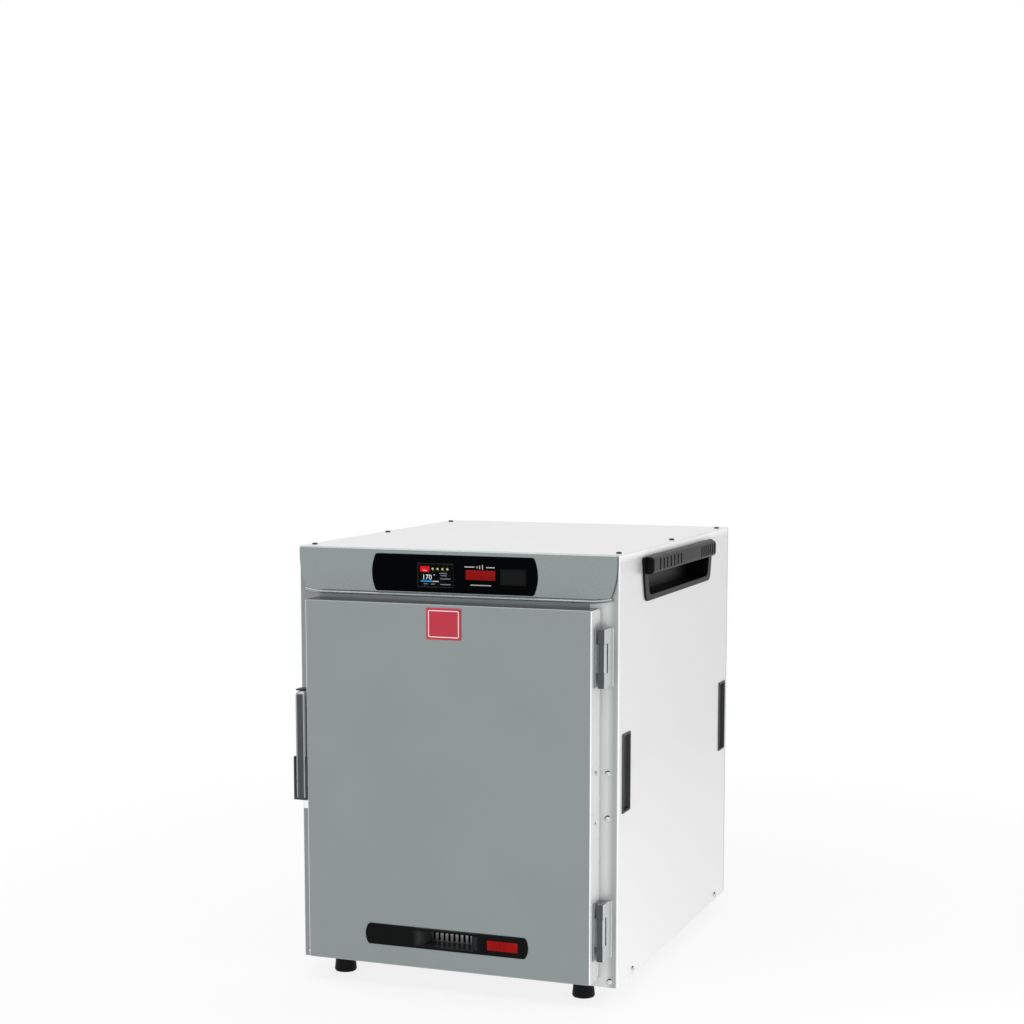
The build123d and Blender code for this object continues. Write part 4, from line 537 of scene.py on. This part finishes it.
def roundedOutline(x, z, radius, steps):
    centres = ((x[1] - radius, z[1] - radius, 0), (x[0] + radius, z[1] - radius, 90),
               (x[0] + radius, z[0] + radius, 180), (x[1] - radius, z[0] + radius, 270))
    points = []
    for centreX, centreZ, start in centres:
        for step in range(steps + 1):
            turn = math.radians(start + 90 * step / steps)
            points.append((centreX + radius * math.cos(turn), centreZ + radius * math.sin(turn)))
    return points


def seenDirectly(tree):
    # 1 for rays that show something: the camera's own, mirrored ones and those through glass
    rays = addNode(tree, "ShaderNodeLightPath")
    seen = rays.outputs["Is Camera Ray"]
    for kind in ("Is Glossy Ray", "Is Transmission Ray"):
        seen = addNode(tree, "ShaderNodeMath", {0: seen, 1: rays.outputs[kind]},
                       operation="MAXIMUM").outputs["Value"]
    return seen


# floor: pale painted board with its own light so that it joins the white round it, and less of that
# near the feet, where the object's shadow shows
floorSetup = {
    "radius": 60.0, "sides": 96, "near": 0.7, "far": 2.2, "nearLight": 0.82,   # lengths in m
    "dark": "#F1F1F0", "light": "#F4F4F3", "speck": 25.0, "rough": 0.9,        # speck in mm
}


def makeFloor():
    work = bmesh.new()
    bmesh.ops.create_circle(work, cap_ends=True, segments=floorSetup["sides"],
                            radius=floorSetup["radius"])
    mesh = bpy.data.meshes.new("studioFloor")
    work.to_mesh(mesh)
    work.free()
    floor = bpy.data.objects.new("studioFloor", mesh)
    bpy.context.scene.collection.objects.link(floor)
    material, tree, shader = startMaterial("paleStudioFloor", Roughness=floorSetup["rough"])
    specks = addNode(tree, "ShaderNodeTexNoise",
                     {"Vector": patternPlace(tree, floorSetup["speck"])},
                     {"Scale": 1.0, "Detail": 2.0})
    paint = layTones(tree, floorSetup["dark"], [(specks.outputs["Fac"], floorSetup["light"])])
    tree.links.new(paint, shader.inputs["Base Color"])
    glow = addNode(tree, "ShaderNodeEmission", (), {"Color": (1, 1, 1, 1), "Strength": 1.0})
    place = addNode(tree, "ShaderNodeTexCoord")
    reach = addNode(tree, "ShaderNodeVectorMath", {0: place.outputs["Object"]}, operation="LENGTH")
    share = addNode(tree, "ShaderNodeMapRange", {"Value": reach.outputs["Value"]},
                    {"From Min": floorSetup["near"], "From Max": floorSetup["far"],
                     "To Min": floorSetup["nearLight"], "To Max": 1.0},
                    interpolation_type="SMOOTHSTEP")
    lit = addNode(tree, "ShaderNodeMath", {0: seenDirectly(tree), 1: share.outputs["Result"]},
                  operation="MULTIPLY")
    mix = addNode(tree, "ShaderNodeMixShader", {0: lit.outputs["Value"], 1: shader.outputs["BSDF"],
                                                2: glow.outputs["Emission"]})
    tree.links.new(mix.outputs["Shader"], tree.nodes["Material Output"].inputs["Surface"])
    mesh.materials.append(material)


makeFloor()

# studio light: a bright tent, a low soft box close to the right side, a tall one at the left rear
# for the door's left edge, and a broad one above; the first two are hidden from glossy rays, so
# that no gloss mirrors them; places in mm of the drawing, sizes in m, power in W
tent = {"strength": 0.8}                       # on the object; where it is seen itself, it is white
softBoxes = {
    "rightBox": {"at": (1300, -420, 70), "aim": (305, 20, 100), "size": (0.8, 0.5), "power": 9.5,
                 "mirrored": False},
    "leftBox": {"at": (-2400, 780, 620), "aim": (-270, -50, 400), "size": (0.6, 1.5), "power": 8,
                "mirrored": False},
    "topBox": {"at": (-300, -900, 3000), "aim": (0, 300, 400), "size": (2.4, 2.0), "power": 16,
               "mirrored": True},
}


def makeLights():
    world = bpy.data.worlds.new("studioTent")
    bpy.context.scene.world = world
    world.use_nodes = True
    tree = world.node_tree
    tree.nodes.clear()
    level = addNode(tree, "ShaderNodeMapRange", {"Value": seenDirectly(tree)},
                    {"To Min": tent["strength"], "To Max": 1.0})
    glow = addNode(tree, "ShaderNodeBackground", {"Strength": level.outputs["Result"]},
                   {"Color": (1, 1, 1, 1)})
    out = addNode(tree, "ShaderNodeOutputWorld", {"Surface": glow.outputs["Background"]})
    out.is_active_output = True
    for name, box in softBoxes.items():
        data = bpy.data.lights.new(name, "AREA")
        data.shape = "RECTANGLE"
        data.size, data.size_y = box["size"]
        data.energy = box["power"]
        light = bpy.data.objects.new(name, data)
        bpy.context.scene.collection.objects.link(light)
        light.visible_camera = False
        light.visible_glossy = box["mirrored"]
        light.location = spot(*box["at"])
        toward = spot(*box["aim"]) - light.location
        light.rotation_euler = toward.to_track_quat("-Z", "Y").to_euler()


makeLights()
print("floor and studio light placed")


# sliding knobs: a ribbed cap with a taller rib across its middle, and the stem behind it
knobs = {
    "doorVentSlider": {
        "middle": (109.0, 70.0), "size": (57.0, 17.5), "front": -56.2, "seat": -52.1, "back": -9.1,
        "node": "door_vent_knob", "body": "door_vent",
    },
    "humidityVentSlider": {
        "middle": (52.0, 722.2), "size": (55.3, 17.0), "front": -12.3, "seat": -8.3, "back": 11.3,
        "node": "humidity_vent_knob", "body": "humidity_vent",
    },
}
knobRibs = {
    "pitch": 2.6, "width": 1.3, "height": 0.7, "rim": 1.6, "firstPitch": 0.6,
    "middleRib": 2.4, "middleRise": 1.2, "middleRim": 0.5, "stem": (8.0, 6.0),
    "root": 0.2, "round": 0.35,                # how far a rib sinks into the cap; its edges' radius
}


def makeKnob(name, knob):
    x, z = knob["middle"]
    length, height = knob["size"]
    ribTop = knob["front"] + knobRibs["middleRise"]
    face = ribTop + knobRibs["height"]
    root = face + knobRibs["root"]

    def build(work):
        addSlab(work, (x - length / 2, x + length / 2), (face, knob["seat"]),
                (z - height / 2, z + height / 2))
        count = int((length / 2 - knobRibs["rim"] - knobRibs["middleRib"]) / knobRibs["pitch"])
        half = knobRibs["width"] / 2
        for side in (-1, 1):
            for number in range(count):
                step = knobRibs["middleRib"] + knobRibs["pitch"] * (number + knobRibs["firstPitch"])
                at = x + side * step
                addSlab(work, (at - half, at + half), (ribTop, root),
                        (z - height / 2 + knobRibs["rim"], z + height / 2 - knobRibs["rim"]))
        half = knobRibs["middleRib"] / 2
        addSlab(work, (x - half, x + half), (knob["front"], root),
                (z - height / 2 + knobRibs["middleRim"], z + height / 2 - knobRibs["middleRim"]))
        stemX, stemZ = knobRibs["stem"]
        addSlab(work, (x - stemX / 2, x + stemX / 2),
                (knob["seat"] - knobRibs["root"], knob["back"]), (z - stemZ / 2, z + stemZ / 2))

    newPiece(name, meshFrom(name, build, bevel=knobRibs["round"]), "redKnob", knob["body"],
             [knob["node"]])


for name, knob in knobs.items():
    makeKnob(name, knob)
print("sliding knobs made")


# display picture, behind the glass: places in mm from its lower left corner; a tile is its x, its
# z, its corners' radius, its tone, its glow and how far it stands in front of the ground
display = {
    "left": -70.0, "low": 697.7, "front": -6.28, "back": -6.05, "cornerSteps": 4,
    "ground": ((1.5, 68.1), (1.5, 41.5), 1.0, "#050607", 0.05, 0.0),
    "tab": ((6.2, 23.6), (27.2, 37.4), 1.0, "#C41420", 0.6, 0.02),
    "tabMark": ((11.0, 18.6), (29.0, 30.2), 0.4, "#E8A9A4", 0.7, 0.04),
    "dot": ((27.6, 32.0), (30.6, 35.0), 2.1, "#96983A", 0.5, 0.02),
    "dotTip": ((28.8, 30.8), (32.6, 34.4), 0.8, "#E2E4B4", 0.5, 0.04),
    "dots": 4, "dotPitch": 9.3,
    "bar": ((6.4, 29.2), (9.8, 12.0), 0.8, "#1C8FCC", 0.62, 0.02),
    "barEnd": ((29.8, 41.4), (10.0, 11.6), 0.6, "#C9B6AE", 0.6, 0.02),
    "marks": (((42, 57), 24.5), ((45, 57), 20.6), ((44, 64), 15.0), ((44, 64), 5.0),
              ((12, 20), 5.2), ((26, 34), 5.2)),
    "markHeight": 1.5, "markRest": (0.5, "#6E7780", 0.5, 0.02),
    "degree": ((31.6, 33.4), (21.4, 23.2), 0.85, "#C9D2D6", 0.9, 0.02),
}
digits = {
    "text": "170", "place": (9.3, 13.9), "size": 12.6, "thinner": 0.09, "halfDepth": 0.08,
    "rise": 0.03, "tone": "#C9D2D6", "glow": 0.9,
}


def addTile(name, x, z, radius, code, strength, rise, shift=0.0):
    finishes[name] = litPixels(name + "Glow", code, strength)
    left, low = display["left"] + shift, display["low"]

    def build(work):
        outline = roundedOutline((left + x[0], left + x[1]), (low + z[0], low + z[1]), radius,
                                 display["cornerSteps"])
        addPrism(work, outline, display["front"] - rise, display["back"])

    newPiece(name, meshFrom(name, build, smooth=False), name, "frame")


def addDigits():
    curve = bpy.data.curves.new("displayDigits", "FONT")
    curve.body = digits["text"]
    curve.size = digits["size"] * mm
    curve.offset = -digits["thinner"] * mm
    curve.extrude = digits["halfDepth"] * mm
    maker = bpy.data.objects.new("digitMaker", curve)
    bpy.context.scene.collection.objects.link(maker)
    bpy.context.view_layer.update()
    mesh = bpy.data.meshes.new_from_object(maker)
    bpy.data.objects.remove(maker)
    stand = Matrix.Rotation(math.radians(90), 4, "X")
    x, z = digits["place"]
    corner = spot(display["left"] + x, display["front"] - digits["rise"], display["low"] + z)
    mesh.transform(Matrix.Translation(corner) @ stand)
    mesh.name = "displayDigits"
    finishes["displayDigits"] = litPixels("displayDigitGlow", digits["tone"], digits["glow"])
    newPiece("displayDigits", mesh, "displayDigits", "frame")


def makeDisplay():
    addTile("displayGround", *display["ground"])
    addTile("displayTab", *display["tab"])
    addTile("displayTabMark", *display["tabMark"])
    for number in range(display["dots"]):
        shift = number * display["dotPitch"]
        addTile(f"displayDot{number + 1}", *display["dot"], shift)
        addTile(f"displayDotTip{number + 1}", *display["dotTip"], shift)
    addTile("displayBar", *display["bar"])
    addTile("displayBarEnd", *display["barEnd"])
    for number, (x, z) in enumerate(display["marks"]):
        addTile(f"displayMark{number + 1}", x, (z, z + display["markHeight"]), *display["markRest"])
    addDigits()
    addTile("displayDegree", *display["degree"])


makeDisplay()
print("display picture made")


# rolled hem along the header's lower edge: level in the middle, then lifting to each end; its
# material paints a highlight toward the right end
headerBead = {
    "y": -4.0, "z": 682.3, "flatHalf": 253.0, "tip": (291.0, 686.8), "radius": 2.88,
    "sides": 24, "steps": 10,
}


def beadPath():
    # an arc that leaves the level part smoothly and ends at the tip
    run = headerBead["tip"][0] - headerBead["flatHalf"]
    rise = headerBead["tip"][1] - headerBead["z"]
    bend = (run * run + rise * rise) / (2 * rise)
    steps = headerBead["steps"]
    turns = [math.asin(run / bend) * step / steps for step in range(steps + 1)]
    right = [(headerBead["flatHalf"] + bend * math.sin(turn),
              headerBead["z"] + bend * (1 - math.cos(turn))) for turn in turns]
    return [(-x, z) for x, z in reversed(right)] + right


def makeHeaderBead():
    sides, radius = headerBead["sides"], headerBead["radius"]

    def build(work):
        rings = []
        path = beadPath()
        for number, (x, z) in enumerate(path):
            before, after = path[max(number - 1, 0)], path[min(number + 1, len(path) - 1)]
            slope = math.atan2(after[1] - before[1], after[0] - before[0])
            ring = []
            for side in range(sides):
                turn = math.radians(360 * side / sides)
                out = radius * math.sin(turn)
                ring.append(work.verts.new((x - out * math.sin(slope),
                                            headerBead["y"] - radius * math.cos(turn),
                                            z + out * math.cos(slope))))
            rings.append(ring)
        for near, far in zip(rings, rings[1:]):
            for side in range(sides):
                after = (side + 1) % sides
                work.faces.new((near[side], near[after], far[after], far[side]))
        work.faces.new(rings[0])
        work.faces.new(list(reversed(rings[-1])))

    newPiece("headerBead", meshFrom("headerBead", build), "beadSteel", "frame")


makeHeaderBead()
print("header bead made")


# printed marks round the humidity slider: two short rules, three growing bars and a rule below
scaleMarks = {
    "front": -8.06, "back": -7.9, "corner": 0.5, "cornerSteps": 3, "z": 736.2, "thick": 1.6,
    "rules": ((21.0, 40.0), (62.0, 78.0)),
    "bars": ((44.6, 4.0), (49.6, 6.2), (55.0, 8.6)),
    "caption": ((32.0, 71.0), 704.4),
}


def makeScaleMarks():
    z, half = scaleMarks["z"], scaleMarks["thick"] / 2

    def build(work):
        marks = [(x, (z - half, z + half)) for x in scaleMarks["rules"]]
        marks += [((x - half, x + half), (z - height / 2, z + height / 2))
                  for x, height in scaleMarks["bars"]]
        captionX, captionZ = scaleMarks["caption"]
        marks.append((captionX, (captionZ - half, captionZ + half)))
        for across, up in marks:
            outline = roundedOutline(across, up, scaleMarks["corner"], scaleMarks["cornerSteps"])
            addPrism(work, outline, scaleMarks["front"], scaleMarks["back"])

    newPiece("sliderScale", meshFrom("sliderScale", build, smooth=False), "printWhite", "frame")


makeScaleMarks()


# badge border, a thin pale frame on the red plate
badge = {
    "x": (-34.5, 31.5), "z": (610.5, 666.5), "face": -51.4, "inset": 4.0, "line": 1.6, "rise": 0.25,
    "sink": 0.1, "corner": 3.0, "cornerSteps": 5,
}


def makeBadgeBorder():
    def build(work):
        rings = []
        for grow in (0.0, badge["line"]):
            inset = badge["inset"] + grow
            outline = roundedOutline((badge["x"][0] + inset, badge["x"][1] - inset),
                                     (badge["z"][0] + inset, badge["z"][1] - inset),
                                     badge["corner"] - grow, badge["cornerSteps"])
            rings.append([[work.verts.new((x, y, z)) for x, z in outline]
                          for y in (badge["face"] - badge["rise"], badge["face"] + badge["sink"])])
        (outerFront, outerBack), (innerFront, innerBack) = rings
        for i in range(len(outerFront)):
            j = (i + 1) % len(outerFront)
            work.faces.new((outerFront[i], outerFront[j], innerFront[j], innerFront[i]))
            work.faces.new((outerBack[j], outerBack[i], innerBack[i], innerBack[j]))
            work.faces.new((outerFront[j], outerFront[i], outerBack[i], outerBack[j]))
            work.faces.new((innerFront[i], innerFront[j], innerBack[j], innerBack[i]))

    newPiece("badgeBorder", meshFrom("badgeBorder", build, smooth=False), "badgeEdge", "door")


makeBadgeBorder()
print("printed marks and badge border made")

bpy.context.scene.view_settings.view_transform = "Standard"
print("done")
